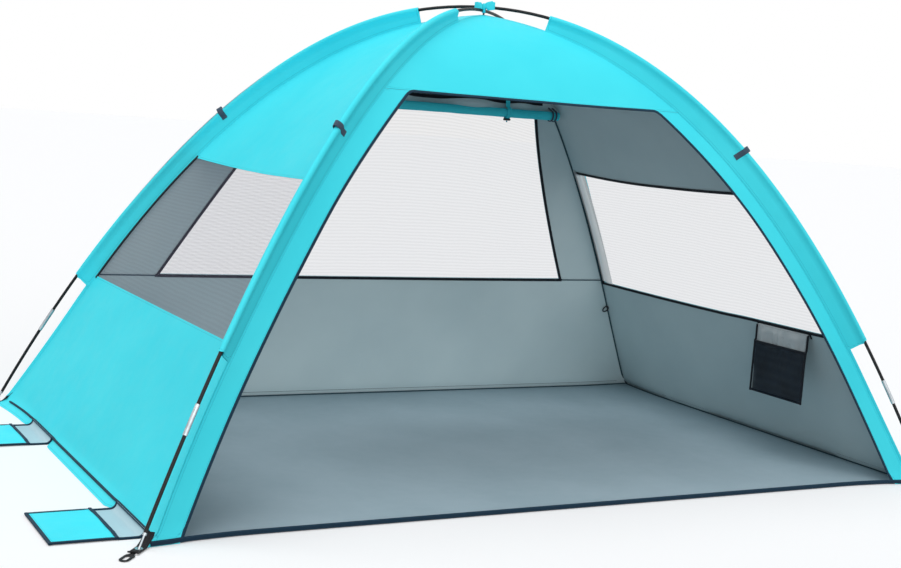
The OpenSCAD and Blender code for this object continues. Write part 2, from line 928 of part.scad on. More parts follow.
module corner_strap() {
    flat = -eyelet_d / 2 - 4;
    high = ridge_back(strap_rise) + 0.5;
    on_strap() {
        difference() {
            strip_along_y([
                [flat, strap_low], [strap_end - 9, strap_low], [strap_end - 9, strap_low + webbing_t],
                [flat + 0.5, strap_low + webbing_t], [high, strap_rise + 1.1 * webbing_t], [high, strap_rise]
            ], strap_w);
            cylinder(d = eyelet_bore + 2.8, h = 20);
        }
        for (y_sign = [-1, 1])
            in_corner(1, y_sign) {
                translate([strap_end - 9.5, strap_notch / 2, strap_low])
                    cube([9.5, (strap_w - strap_notch) / 2, webbing_t]);
            }
        translate([strap_end, -strap_w / 2, strap_hem_z])
            rotate([-90, 0, 0])
                cylinder(d = strap_hem_d, h = strap_w);
    }
}

module corner_straps() {
    color(black)
        in_all_corners()
            corner_strap();
}

module corner_eyelets() {
    bore_r = eyelet_bore / 2;
    color(steel)
        in_all_corners()
            on_strap()
                rotate_extrude()
                    polygon([
                        [bore_r, strap_low - 1.2], [eyelet_d / 2, strap_low - 1.2], [eyelet_d / 2, strap_low - 0.2],
                        [bore_r + 1, strap_low - 0.2], [bore_r + 1, strap_low + webbing_t + 0.2],
                        [eyelet_d / 2, strap_low + webbing_t + 0.2], [eyelet_d / 2, strap_low + webbing_t + 1.2],
                        [bore_r, strap_low + webbing_t + 1.2]
                    ]);
}

// Flat webbing loop turning on the strap's hemmed end
module stake_loop() {
    wrap = strap_hem_d / 2 + wrap_gap;
    wrap_out = wrap + 1.5;
    low = strap_hem_z - wrap_out;
    neck = strap_notch - 2;
    color(black)
        on_strap()
            difference() {
                union() {
                    translate([strap_end, -neck / 2, strap_hem_z])
                        rotate([-90, 0, 0])
                            cylinder(r = wrap_out, h = neck);
                    translate([strap_end, -neck / 2, low])
                        cube([8, neck, webbing_t]);
                    translate([strap_end + 6, -stake_loop_w / 2, low])
                        cube([stake_loop_l - 6 - stake_loop_w / 2, stake_loop_w, webbing_t]);
                    translate([strap_end + stake_loop_l - stake_loop_w / 2, 0, low])
                        cylinder(d = stake_loop_w, h = webbing_t);
                }
                translate([strap_end, -stake_loop_w, strap_hem_z])
                    rotate([-90, 0, 0])
                        cylinder(r = wrap, h = 2 * stake_loop_w);
                translate([strap_end + stake_loop_l - 6 - stake_slot_l + stake_slot_w / 2, -stake_slot_w / 2, low - 1])
                    cube([stake_slot_l - stake_slot_w, stake_slot_w, webbing_t + 2]);
                for (x = [stake_slot_w / 2, stake_slot_l - stake_slot_w / 2])
                    translate([strap_end + stake_loop_l - 6 - x, 0, low - 1])
                        cylinder(d = stake_slot_w, h = webbing_t + 2);
            }
}

module front_left_stake_loop() {
    in_corner(-1, -1)
        stake_loop();
}

module front_right_stake_loop() {
    in_corner(1, -1)
        stake_loop();
}

module rear_left_stake_loop() {
    in_corner(-1, 1)
        stake_loop();
}

module rear_right_stake_loop() {
    in_corner(1, 1)
        stake_loop();
}

// Elastic cord loops hung on the rear corner seams
module corner_loop() {
    block = 8;
    x = side_in(loop_z, cloth_t) - seam - block;
    y = end_in(loop_z, cloth_t) - seam - block;
    r = loop_d / 2 - loop_cord / 2;
    translate([x, y, loop_z - 6])
        cube([block, block, 6]);
    translate([x + 1, y + block / 2, loop_z - 6 - r + 1])
        rotate([90, 0, 0])
            rotate_extrude()
                translate([r, 0])
                    circle(d = loop_cord);
}

module corner_loops() {
    color(black)
        for (x_sign = [-1, 1])
            in_corner(x_sign, 1)
                corner_loop();
}

// Rolled window cover

function spiral(turns, r_in, r_out, end_angle, steps) = [
    for (i = [0 : steps])
        let (f = i / steps, a = end_angle - 360 * turns * (1 - f), r = r_in + (r_out - r_in) * f)
        [r * cos(a), r * sin(a)]
];
function tangent_at(line, i) = unit(line[min(i + 1, len(line) - 1)] - line[max(i - 1, 0)]);
function beside(line, off) = [for (i = [0 : len(line) - 1])
    let (t = tangent_at(line, i)) line[i] + off * [-t[1], t[0]]];
function thick_line(line, t) = concat(beside(line, t / 2), reversed(beside(line, -t / 2)));

// Profiles in Y and Z of the cover and of a tie, both ending on the rear wall's inner face
cover_line = concat(
    moved(spiral(roll_turns, 5, roll_r - cover_t / 2, 0, 24 * roll_turns), [roll_y, roll_z]),
    [[cover_y, cover_seam_z]]
);
tie_line = concat(
    moved(arc(tie_r + tie_t / 2, -12, -265, 28), [roll_y, roll_z]),
    [[end_in(tie_seam_z, cloth_t) - tie_t - 0.4, tie_seam_z]]
);

module along_x(outline, length) {
    rotate([90, 0, 90])
        linear_extrude(height = length, center = true)
            polygon(outline);
}

module window_cover_roll() {
    color(turquoise)
        intersection() {
            along_x(thick_line(cover_line, cover_t), 2 * roll_half);
            under_sides(cloth_t + roll_end_gap);
        }
}

module roll_ties() {
    color(turquoise)
        for (x_sign = [-1, 1])
            in_corner(x_sign, 1) {
                for (x = [tie_inner, roll_half - tie_end])
                    translate([x, 0, 0])
                        along_x(thick_line(tie_line, tie_t), tie_w);
                translate([tie_inner, roll_y, toggle_z - toggle_d / 2 - 3])
                    cylinder(d = toggle_cord, h = roll_z - tie_r - tie_t / 2 - toggle_z + toggle_d / 2 + 3);
                translate([tie_inner, roll_y, toggle_z - toggle_d / 2 - 3])
                    sphere(d = toggle_cord + 2.4);
            }
}

// Barrel on the tie's cord, turned in line with the loop to let the cover down
module toggle() {
    color(black)
        translate([tie_inner, roll_y, toggle_z])
            difference() {
                union() {
                    rotate([0, 90, 0])
                        cylinder(d = toggle_d, h = toggle_l - toggle_d, center = true);
                    for (x_sign = [-1, 1])
                        translate([x_sign * (toggle_l - toggle_d) / 2, 0, 0])
                            sphere(d = toggle_d);
                }
                cylinder(d = toggle_cord + 0.7, h = 3 * toggle_d, center = true);
            }
}

module left_toggle() {
    mirror([1, 0, 0])
        toggle();
}

module right_toggle() {
    toggle();
}

// Hanging pocket on the right wall

// Profile in X and Z of the pocket cloth: over the piping and down its inner side
hang_line = concat(
    arc(hang_wrap, 90, 180, 8), [[-hang_wrap, -hang_drop], [-hang_face, -hang_drop]], arc(hang_face, 180, 90, 8)
);

module at_hanging_pocket() {
    translate([hang_x, -hang_front, hang_z])
        children();
}

module hanging_pocket_back() {
    color(pale)
        at_hanging_pocket()
            intersection() {
                strip_along_y(hang_line, hang_l - 2 * pocket_tape - 2 * seam);
                translate([-100, -hang_l, -hang_drop + pocket_tape + seam])
                    cube([200, 2 * hang_l, hang_drop + 100]);
            }
}

module hanging_pocket_mesh() {
    mesh_l = hang_l - 2 * pocket_tape - 2 * seam;
    mesh_top = hang_mesh_drop + pocket_tape + seam;
    color(navy)
        at_hanging_pocket()
            translate([-hang_face - hang_gap - mesh_t, -mesh_l / 2, -hang_drop + pocket_tape + seam])
                cube([mesh_t, mesh_l, hang_drop - pocket_tape - mesh_top - seam]);
}

module hanging_pocket_tape() {
    deep = hang_gap + mesh_t + tape_proud;
    color(black)
        at_hanging_pocket() {
            for (y_sign = [-1, 1])
                translate([0, y_sign * (hang_l - pocket_tape) / 2, 0]) {
                    strip_along_y(hang_line, pocket_tape);
                    translate([-hang_face - deep, -pocket_tape / 2, -hang_drop])
                        cube([deep + 0.2, pocket_tape, hang_drop - hang_mesh_drop]);
                }
            translate([-hang_face - deep, -hang_l / 2, -hang_drop])
                cube([deep + pocket_t, hang_l, pocket_tape]);
            translate([-hang_face - deep, -hang_l / 2, -hang_mesh_drop - pocket_tape])
                cube([mesh_t + tape_proud, hang_l, pocket_tape]);
        }
}

// Sand pockets

// Profile in X and Z of the pocket cloth from the piping: over it, down to the ground and outwards
function sand_line(to) =
    let (centre = [sand_wrap + pocket_t + sand_bend, 0])
    concat(
        arc(sand_wrap, 60, 0, 6),
        moved(arc(sand_bend + pocket_t, 180, 270, 8), centre), [[to, -hem_z], [to, -hem_z + pocket_t]],
        moved(arc(sand_bend, 270, 180, 8), centre),
        arc(sand_wrap + pocket_t, 0, 60, 6)
    );

module at_sand_pocket(y) {
    translate([hem_x, y, hem_z])
        children();
}

sand_inner_l = sand_l - 2 * pocket_tape - 2 * seam;
sand_inner_to = sand_reach - pocket_tape - seam;

module sand_base(y) {
    color(pale)
        at_sand_pocket(y)
            strip_along_y(sand_line(sand_inner_to), sand_inner_l);
}

module sand_cover(y) {
    from = sand_mouth + pocket_tape / 2 + seam;
    color(turquoise)
        at_sand_pocket(y)
            translate([from, -sand_inner_l / 2, -hem_z + sand_lid])
                cube([sand_inner_to - from, sand_inner_l, pocket_t]);
}

module sand_tape(y) {
    color(navy)
        at_sand_pocket(y) {
            for (y_sign = [-1, 1])
                translate([0, y_sign * (sand_l - pocket_tape) / 2, 0]) {
                    strip_along_y(sand_line(sand_reach), pocket_tape);
                    translate([sand_mouth - pocket_tape / 2, -pocket_tape / 2, -hem_z])
                        cube([sand_reach - sand_mouth + pocket_tape / 2, pocket_tape, sand_top]);
                }
            translate([sand_reach - pocket_tape, -sand_l / 2, -hem_z])
                cube([pocket_tape, sand_l, sand_top]);
            translate([sand_mouth - pocket_tape / 2, -sand_l / 2, -hem_z + sand_lid])
                cube([pocket_tape, sand_l, sand_top - sand_lid]);
        }
}

module front_left_sand_base() {
    in_corner(-1, 1)
        sand_base(-sand_front);
}

module front_left_sand_cover() {
    in_corner(-1, 1)
        sand_cover(-sand_front);
}

module front_left_sand_tape() {
    in_corner(-1, 1)
        sand_tape(-sand_front);
}

module front_right_sand_base() {
    sand_base(-sand_front);
}

module front_right_sand_cover() {
    sand_cover(-sand_front);
}

module front_right_sand_tape() {
    sand_tape(-sand_front);
}

module rear_left_sand_base() {
    in_corner(-1, 1)
        sand_base(sand_rear);
}

module rear_left_sand_cover() {
    in_corner(-1, 1)
        sand_cover(sand_rear);
}

module rear_left_sand_tape() {
    in_corner(-1, 1)
        sand_tape(sand_rear);
}

module rear_right_sand_base() {
    sand_base(sand_rear);
}

module rear_right_sand_cover() {
    sand_cover(sand_rear);
}

module rear_right_sand_tape() {
    sand_tape(sand_rear);
}

// Assembly

front_header();
front_left_strip();
front_right_strip();
left_upper_panel();
left_window_mesh();
left_lower_panel();
right_upper_panel();
right_window_mesh();
right_lower_panel();
rear_upper_panel();
rear_window_mesh();
rear_left_strip();
rear_right_strip();
rear_lower_panel();
floor_sheet();
opening_tape();
left_window_tape();
right_window_tape();
rear_window_tape();
sill_tape();
hem_piping();
front_left_sleeve();
front_right_sleeve();
rear_left_sleeve();
rear_right_sleeve();
lower_pole_rods();
upper_pole_rods();
pole_ferrules();
pole_cords();
foot_tips();
corner_straps();
corner_eyelets();
front_left_stake_loop();
front_right_stake_loop();
rear_left_stake_loop();
rear_right_stake_loop();
hub_tie();
guy_loops();
corner_loops();
window_cover_roll();
roll_ties();
left_toggle();
right_toggle();
hanging_pocket_back();
hanging_pocket_mesh();
hanging_pocket_tape();
front_left_sand_base();
front_left_sand_cover();
front_left_sand_tape();
front_right_sand_base();
front_right_sand_cover();
front_right_sand_tape();
rear_left_sand_base();
rear_left_sand_cover();
rear_left_sand_tape();
rear_right_sand_base();
rear_right_sand_cover();
rear_right_sand_tape();
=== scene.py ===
from bisect import bisect
from math import copysign, cos, exp, pi, radians, sin, sqrt

import bpy
from mathutils import Matrix, Vector, noise


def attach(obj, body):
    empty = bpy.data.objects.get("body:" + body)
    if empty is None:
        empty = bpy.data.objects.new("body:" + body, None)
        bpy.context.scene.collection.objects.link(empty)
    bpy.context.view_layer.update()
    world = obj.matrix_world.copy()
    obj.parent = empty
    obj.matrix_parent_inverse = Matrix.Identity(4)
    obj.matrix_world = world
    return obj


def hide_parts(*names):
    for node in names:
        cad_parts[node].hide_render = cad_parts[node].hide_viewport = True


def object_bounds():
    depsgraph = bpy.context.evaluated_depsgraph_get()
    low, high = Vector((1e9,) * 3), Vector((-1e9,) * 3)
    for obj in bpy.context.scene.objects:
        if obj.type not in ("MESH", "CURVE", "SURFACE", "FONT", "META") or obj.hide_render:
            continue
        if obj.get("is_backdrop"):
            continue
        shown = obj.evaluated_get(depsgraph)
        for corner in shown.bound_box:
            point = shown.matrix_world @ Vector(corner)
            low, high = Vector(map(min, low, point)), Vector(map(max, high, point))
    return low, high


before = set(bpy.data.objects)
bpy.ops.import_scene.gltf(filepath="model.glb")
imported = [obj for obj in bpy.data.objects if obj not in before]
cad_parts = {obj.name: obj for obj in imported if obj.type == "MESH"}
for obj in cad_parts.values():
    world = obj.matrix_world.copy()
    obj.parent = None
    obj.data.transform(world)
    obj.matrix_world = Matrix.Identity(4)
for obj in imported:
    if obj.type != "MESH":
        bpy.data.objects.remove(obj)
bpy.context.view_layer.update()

# Canopy in metres, as in the solid model: floor, height, and the curves of its seams and walls
HALF_W = 1.2
HALF_D = 0.75
PEAK = 1.335
BOW = 2.08
PITCH = 0.12
BELLY = 0.28
CLOTH = 0.0012

# Front opening, windows and tape
OPEN_TOP = 1.082
STRIP = 0.070
CORNER = 0.014
SIDE_LOW = 0.436
SIDE_HIGH = 0.842
REAR_LOW = 0.446
REAR_HIGH = 1.068
REAR_STRIP_LOW = 0.200
REAR_STRIP_HIGH = 0.074
TAPE = 0.012
HALF_TAPE = TAPE / 2

# Hem, poles, sleeves and corner straps
HEM_X = 1.19662
HEM_Y = 0.751193
HEM_Z = 0.018
FOOT_X = 1.243
FOOT_Y = 0.800
POLE_BELLY = 0.17
POLE_BOW = 2.05
LOWER_TOP = 1.347
UPPER_TOP = 1.3575
POLE_R = 0.00475
FERRULE_R = 0.006
ROD_JOINTS = (0.255, 0.765, 1.275, 1.785)
POLE_END = 2.06035
SLEEVE_LOW = 0.420
SLEEVE_HIGH = 1.299
SLEEVE_CUT = 0.022
GUY_Z = 0.942
FOOT = Vector((1.24177, 0.799388, 0.0))
OUT = Vector((0.645776, 0.763527, 0.0))

# Middle of the hanging pocket's piping, rolled window cover and its ties
HANG = Vector((0.981833, -0.379, 0.416))
HANG_HALF = 0.118
ROLL_Y = 0.315831
ROLL_Z = 1.050
ROLL_HALF = 0.502615
COVER_Z = 1.115
TIE_X = (0.300, 0.479)

# Slack of the cloth, and how far its foot is kicked out and drawn to the corners, in metres
SIDE_SAG = 0.020
REAR_SAG = 0.012
FRONT_SAG = 0.004
FLARE = {1: Vector((0.024, 0.020, 0)), -1: Vector((0, 0.026, 0))}
FLARE_HIGH = 0.34
FLARE_LONG = 0.28
SKIRT = Vector((0.009, 0.008, 0))
SKIRT_WIDE = 0.022
SKIRT_HIGH = 0.03
SKIRT_LONG = 0.10
DRAWN = 0.0034
LEAN = 0.012
SAND_Y = {-1: -0.590, 1: 0.335}
UP = Vector((0, 0, 1))
SIDES = (("left", -1), ("right", 1))

# Each corner's end and side, the flip that takes the +X +Y corner to it, and the top of its pole
CORNERS = (("front", "left", Vector((-1, -1, 1)), LOWER_TOP),
           ("front", "right", Vector((1, -1, 1)), UPPER_TOP),
           ("rear", "left", Vector((-1, 1, 1)), UPPER_TOP),
           ("rear", "right", Vector((1, 1, 1)), LOWER_TOP))


def clamp(v, low, high):
    return max(low, min(high, v))


def lerp(a, b, t):
    return a + (b - a) * t


def ease(t):
    t = clamp(t, 0.0, 1.0)
    return t * t * (3 - 2 * t)


def vec(x, y, z):
    return Vector((x, y, z))


def steps(a, b, n):
    return [lerp(a, b, i / n) for i in range(n + 1)]


def spread(half, n):
    return steps(-half, half, n)


def running(points):
    """Distance from the first point to each point of a line."""
    out = [0.0]
    for a, b in zip(points, points[1:]):
        out.append(out[-1] + (b - a).length)
    return out


def smooth_line(points, n):
    """Smooth line through a few points, with n steps to each span."""
    ends = [points[0] * 2 - points[1], *points, points[-1] * 2 - points[-2]]
    out = []
    for i in range(1, len(ends) - 2):
        a, b, c, d = ends[i - 1:i + 3]
        for t in steps(0, 1, n)[:-1]:
            out.append(0.5 * (2 * b + (c - a) * t + (2 * a - 5 * b + 4 * c - d) * t * t
                              + (3 * b - a - 3 * c + d) * t ** 3))
    return [*out, points[-1]]


def each(value, n):
    """A list as it is, or one value n times."""
    return value if isinstance(value, list) else [value] * n


def arc(start, end, n):
    """Cosine and sine of angles in degrees."""
    return [(cos(a), sin(a)) for a in steps(radians(start), radians(end), n)]


def runs(line, loop=False):
    """Direction of a line at each of its points."""
    n = len(line)
    if loop:
        return [line[(i + 1) % n] - line[i - 1] for i in range(n)]
    return [line[min(i + 1, n - 1)] - line[max(i - 1, 0)] for i in range(n)]


# Shape of the canopy: s runs from 0 at the peak to 1 at the ground
def rise(s):
    return PEAK * (1 - PITCH * s - (1 - PITCH) * s ** BOW)


def s_at(z):
    """Place on the canopy at a height, found by halving."""
    low = 0.0
    high = 1.1
    for _ in range(36):
        mid = (low + high) / 2
        if rise(mid) > z:
            low = mid
        else:
            high = mid
    return (low + high) / 2


def plan_y(x):
    return HALF_D / HALF_W * x * (1 + BELLY * (1 - x / HALF_W))


def plan_slope(x):
    return HALF_D / HALF_W * (1 + BELLY * (1 - 2 * x / HALF_W))


def fall(s):
    return PEAK * (PITCH + (1 - PITCH) * BOW * max(s, 1e-6) ** (BOW - 1))


def slack(s):
    return (4 * clamp(s, 0, 1) * (1 - clamp(s, 0, 1))) ** 1.5


def ripple(x, y, z):
    return noise.noise(vec(x, y, z))


def near_pocket(y, z, reach, soft):
    """From 1 at the hanging pocket's top edge to 0 away from it."""
    return ease((0.30 - abs(y - HANG.y)) / 0.15) * ease((reach - abs(z - HANG.z)) / soft)


def relief(p, lat, s, sag):
    """How far the cloth hangs in below the taut wall, in soft waves that fade at seams and pocket."""
    wave = noise.noise(p * 2.6) * 0.0026 + noise.noise(p * 7.0) * 0.0010
    taut = 1 - 0.9 * near_pocket(p.y, p.z, 0.20, 0.14) if p.x >= 0 else 1.0
    return (sag + wave) * (1 - lat * lat) * slack(s) * taut


def side_normal(x_sign, s):
    return vec(x_sign * fall(s), 0, HALF_W).normalized()


def end_normal(y_sign, s):
    return vec(0, y_sign * fall(s), HALF_W * plan_slope(HALF_W * s)).normalized()


def clear_of_pockets(y, near=0.125):
    """0 along the sand pockets and 1 beside them."""
    return min(ease((abs(y - middle) - near) / 0.03) for middle in SAND_Y.values())


def flared(p, s, skirt=None):
    """Point of the canopy's foot, kicked out at the ground and drawn towards the peg at each corner."""
    if p.z > FLARE_HIGH:
        return p
    high = max(p.z, 0)
    off_x = max(0.0, HALF_W * s - abs(p.x))
    off_y = max(0.0, plan_y(HALF_W * s) - abs(p.y))
    pull = (1 - high / FLARE_HIGH) ** 2 * max(0.0, 1 - (off_x + off_y) / FLARE_LONG) ** 2
    by = FLARE[1 if p.y > 0 else -1] * pull
    kick = max(0.0, 1 - high / SKIRT_HIGH) ** 2
    if skirt is None:
        skirt = lerp(SKIRT.x, SKIRT_WIDE, clear_of_pockets(p.y))
    by.x += skirt * kick * max(0.0, 1 - off_x / SKIRT_LONG) ** 2
    by.y += SKIRT.y * kick * max(0.0, 1 - off_y / SKIRT_LONG) ** 2
    return p + vec(copysign(by.x, p.x), copysign(by.y, p.y), 0)


def side_point(x_sign, s, y, depth=0.0):
    """Point of a side wall; the hanging pocket draws the right window's lower edge down a little."""
    if x_sign > 0:
        z = rise(s)
        s = s_at(z - DRAWN * near_pocket(y, z, 0.12, 0.10))
    p = vec(x_sign * HALF_W * s, y, rise(s))
    lat = clamp(y / max(plan_y(HALF_W * s), 1e-5), -1, 1)
    return flared(p - side_normal(x_sign, s) * (depth + relief(p, lat, s, SIDE_SAG)), s)


def end_point(y_sign, s, x, depth=0.0):
    p = vec(x, y_sign * plan_y(HALF_W * s), rise(s))
    lat = clamp(x / max(HALF_W * s, 1e-5), -1, 1)
    sag = REAR_SAG if y_sign > 0 else FRONT_SAG
    return flared(p - end_normal(y_sign, s) * (depth + relief(p, lat, s, sag)), s)


def from_middle(p):
    return p - vec(0, 0, 0.35)


def opening_x(z):
    """Half width of the front opening: the strips beside it widen a little towards the top."""
    return HALF_W * s_at(z) - STRIP - 0.010 * ease((z - 0.75) / 0.33) + 0.004 * ease((0.70 - z) / 0.4)


def opening_edge(z, grow=0.0):
    """Half width of the front opening at a height, with its rounded top corners."""
    top = OPEN_TOP + grow
    if z <= top - CORNER:
        return opening_x(z) + grow
    t = 1 - sqrt(max(0.0, top - z) / CORNER)
    a = opening_x(top - CORNER) + grow
    b = opening_x(top) + grow
    return a * (1 - t) ** 2 + b * 2 * t * (1 - t) + (b - CORNER) * t * t


def rear_half(z):
    wide = HALF_W * s_at(REAR_LOW) - REAR_STRIP_LOW
    narrow = HALF_W * s_at(REAR_HIGH) - REAR_STRIP_HIGH
    return lerp(wide, narrow, (z - REAR_LOW) / (REAR_HIGH - REAR_LOW))


# Shape of the poles: u runs from 0 at the crossing to 1 at the ground
def pole_point(u, top):
    a = abs(u)
    return vec(FOOT_X * u, FOOT_Y * u * (1 + POLE_BELLY * (1 - a)), top * (1 - a ** POLE_BOW))


ARC_STEPS = 400
ARC_LEN = running([pole_point(u, LOWER_TOP) for u in steps(0, 1, ARC_STEPS)])


def u_at(length):
    """Place on a pole at a length from its crossing."""
    want = abs(length)
    i = min(bisect(ARC_LEN, want), ARC_STEPS) - 1
    part = (want - ARC_LEN[i]) / (ARC_LEN[i + 1] - ARC_LEN[i])
    return copysign((i + part) / ARC_STEPS, length)


# Mesh building
SHARP = radians(50)


class Build:
    """Faces of one piece, each corner with its place in the cloth in metres and its distance from a hem."""

    def __init__(self):
        self.points = []
        self.faces = []
        self.places = []
        self.hems = []
        self.marks = []

    def quad(self, corners, mark, turned=False):
        if turned:
            corners = corners[::-1]
        self.faces.append([c[0] for c in corners])
        for c in corners:
            self.places += c[1]
            self.hems += (c[2], 0.0)
        self.marks.append(mark)

    def sheet(self, rows, thick, outward, skins=(0, 1)):
        """Thin cloth over a grid of points on its outer face, closed at its rim if it has a thickness."""
        n = len(rows)
        m = len(rows[0])
        across = [running(row) for row in rows]
        along = [running([row[j] for row in rows]) for j in range(m)]
        normals = []
        total = 0.0
        for i in range(n):
            for j in range(m):
                a = rows[i][min(j + 1, m - 1)] - rows[i][max(j - 1, 0)]
                b = rows[min(i + 1, n - 1)][j] - rows[max(i - 1, 0)][j]
                normal = a.cross(b).normalized()
                total += normal.dot(outward(rows[i][j]))
                normals.append(normal)
        turned = total < 0
        side = 1 if turned else -1
        start = len(self.points)
        count = n * m
        flat = [p for row in rows for p in row]
        self.points += flat
        if thick:
            self.points += [p + q * (thick * side) for p, q in zip(flat, normals)]

        def corner(i, j, layer=0):
            u = across[i][j]
            v = along[j][i]
            hem = min(u, across[i][-1] - u, v, along[j][-1] - v)
            return (start + layer * count + i * m + j, (u - across[i][-1] / 2, v), hem)

        for i in range(n - 1):
            for j in range(m - 1):
                ring = ((i, j), (i, j + 1), (i + 1, j + 1), (i + 1, j))
                self.quad([corner(*c) for c in ring], skins[0], turned)
                if thick:
                    self.quad([corner(*c, 1) for c in ring[1:] + ring[:1]], skins[1], not turned)
        if not thick:
            return
        edge = [((0, j + 1), (0, j)) for j in range(m - 1)]
        edge += [((n - 1, j), (n - 1, j + 1)) for j in range(m - 1)]
        edge += [((i, 0), (i + 1, 0)) for i in range(n - 1)]
        edge += [((i + 1, m - 1), (i, m - 1)) for i in range(n - 1)]
        for a, b in edge:
            self.quad([corner(*a), corner(*b), corner(*b, 1), corner(*a, 1)], skins[0], turned)

    def sweep(self, path, frames, section, mark=0, loop=False, hem=None):
        """Closed section drawn along a path; frames give the two axes of the section at each point."""
        lengths = running([*path, path[0]] if loop else path)
        k = len(section(0))
        start = len(self.points)
        for i, (p, (a, b)) in enumerate(zip(path, frames)):
            self.points += [p + a * x + b * y for x, y in section(i)]
        n = len(path)
        girth = [0.0]
        ring = section(0)
        for c in range(k):
            d = Vector(ring[(c + 1) % k]) - Vector(ring[c])
            girth.append(girth[-1] + d.length)

        def corner(i, c):
            edge = hem(section(i % n)[c % k]) if hem else 1.0
            return (start + (i % n) * k + c % k, (lengths[i], girth[c]), edge)

        for i in range(n if loop else n - 1):
            for c in range(k):
                self.quad([corner(i, c), corner(i, c + 1), corner(i + 1, c + 1), corner(i + 1, c)], mark)
        if not loop:
            for i, turned in ((0, True), (n - 1, False)):
                self.quad([corner(i, c) for c in range(k)], mark, turned)

    def ribbon(self, path, normals, width, thick, mark=0, loop=False):
        """Flat tape along a path, with soft edges; its normal and width may vary along it."""
        n = len(path)
        frames = []
        for run, normal in zip(runs(path, loop), each(normals, n)):
            lateral = run.cross(normal).normalized()
            frames.append((lateral, lateral.cross(run).normalized()))
        widths = each(width, n)

        def section(i):
            w = widths[i] / 2
            t = thick / 2
            e = min(t, w * 0.4)
            half = [(-w, 0), (-w + e * 0.4, -t * 0.8), (-w + e, -t), (0, -t), (w - e, -t),
                    (w - e * 0.4, -t * 0.8)]
            return half + [(-x, -z) for x, z in half]

        self.sweep(path, frames, section, mark, loop, lambda c: widths[0] / 2 - abs(c[0]))

    def tube(self, path, radius, sides=10, loop=False):
        """Round cord or rod along a path; radius may vary along it."""
        radii = each(radius, len(path))
        frames = []
        side = None
        for run in runs(path, loop):
            run.normalize()
            if side is None:
                side = run.orthogonal().normalized()
            side = (side - run * side.dot(run)).normalized()
            frames.append((run.cross(side), side))

        def section(i):
            r = radii[i]
            turn = 2 * pi / sides
            return [(r * sin(turn * c), r * cos(turn * c)) for c in range(sides)]

        self.sweep(path, frames, section, 0, loop)

    def make(self, name, materials, nodes=(), body="shelter"):
        mesh = bpy.data.meshes.new(name)
        mesh.from_pydata(self.points, [], self.faces)
        mesh.uv_layers.new(name="place").data.foreach_set("uv", self.places)
        mesh.uv_layers.new(name="hem").data.foreach_set("uv", self.hems)
        for material in materials:
            mesh.materials.append(material)
        mesh.polygons.foreach_set("material_index", self.marks)
        mesh.polygons.foreach_set("use_smooth", [True] * len(self.faces))
        mesh.set_sharp_from_angle(angle=SHARP)
        mesh.update()
        obj = bpy.data.objects.new(name, mesh)
        bpy.context.scene.collection.objects.link(obj)
        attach(obj, body)
        if nodes:
            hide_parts(*nodes)
        return obj


def cloth(name, rows, materials, node, thick=CLOTH, outward=from_middle,
          body="shelter"):
    """One sheet over a grid of points, in place of a solid of the model."""
    b = Build()
    b.sheet(rows, thick, outward, (0, len(materials) - 1))
    obj = b.make(name, materials, [node], body)


# Materials
def tint(r, g, b):
    """Shader value of a colour that is written as it looks, in 0 to 255."""
    def channel(c):
        c /= 255
        return c / 12.92 if c <= 0.04045 else ((c + 0.055) / 1.055) ** 2.4
    return (channel(r), channel(g), channel(b), 1.0)


class Nodes:
    """Shader nodes of a material or of the world."""

    def __init__(self, owner):
        owner.use_nodes = True
        self.tree = owner.node_tree

    def node(self, kind, inputs=None, **settings):
        made = self.tree.nodes.new(kind)
        for key, value in settings.items():
            setattr(made, key, value)
        for key, value in (inputs or {}).items():
            self.feed(made.inputs[key], value)
        return made

    def feed(self, socket, value):
        if isinstance(value, bpy.types.NodeSocket):
            self.tree.links.new(value, socket)
        else:
            socket.default_value = value

    def math(self, operation, *values):
        made = self.node("ShaderNodeMath", operation=operation)
        for socket, value in zip(made.inputs, values):
            self.feed(socket, value)
        return made.outputs[0]

    def shade(self, kind, colour, **strength):
        return self.node(kind, {"Color": (*colour, 1), **strength}).outputs[0]

    def blend(self, factor, a, b):
        return self.node("ShaderNodeMixShader", {0: factor, 1: a, 2: b}).outputs[0]

    def seen(self):
        """1 for rays from the camera, also by way of metal and glass, and 0 for rays that light the part."""
        path = self.node("ShaderNodeLightPath").outputs
        found = path["Is Camera Ray"]
        for ray in ("Glossy", "Transmission"):
            found = self.math("MAXIMUM", found, path[f"Is {ray} Ray"])
        return found


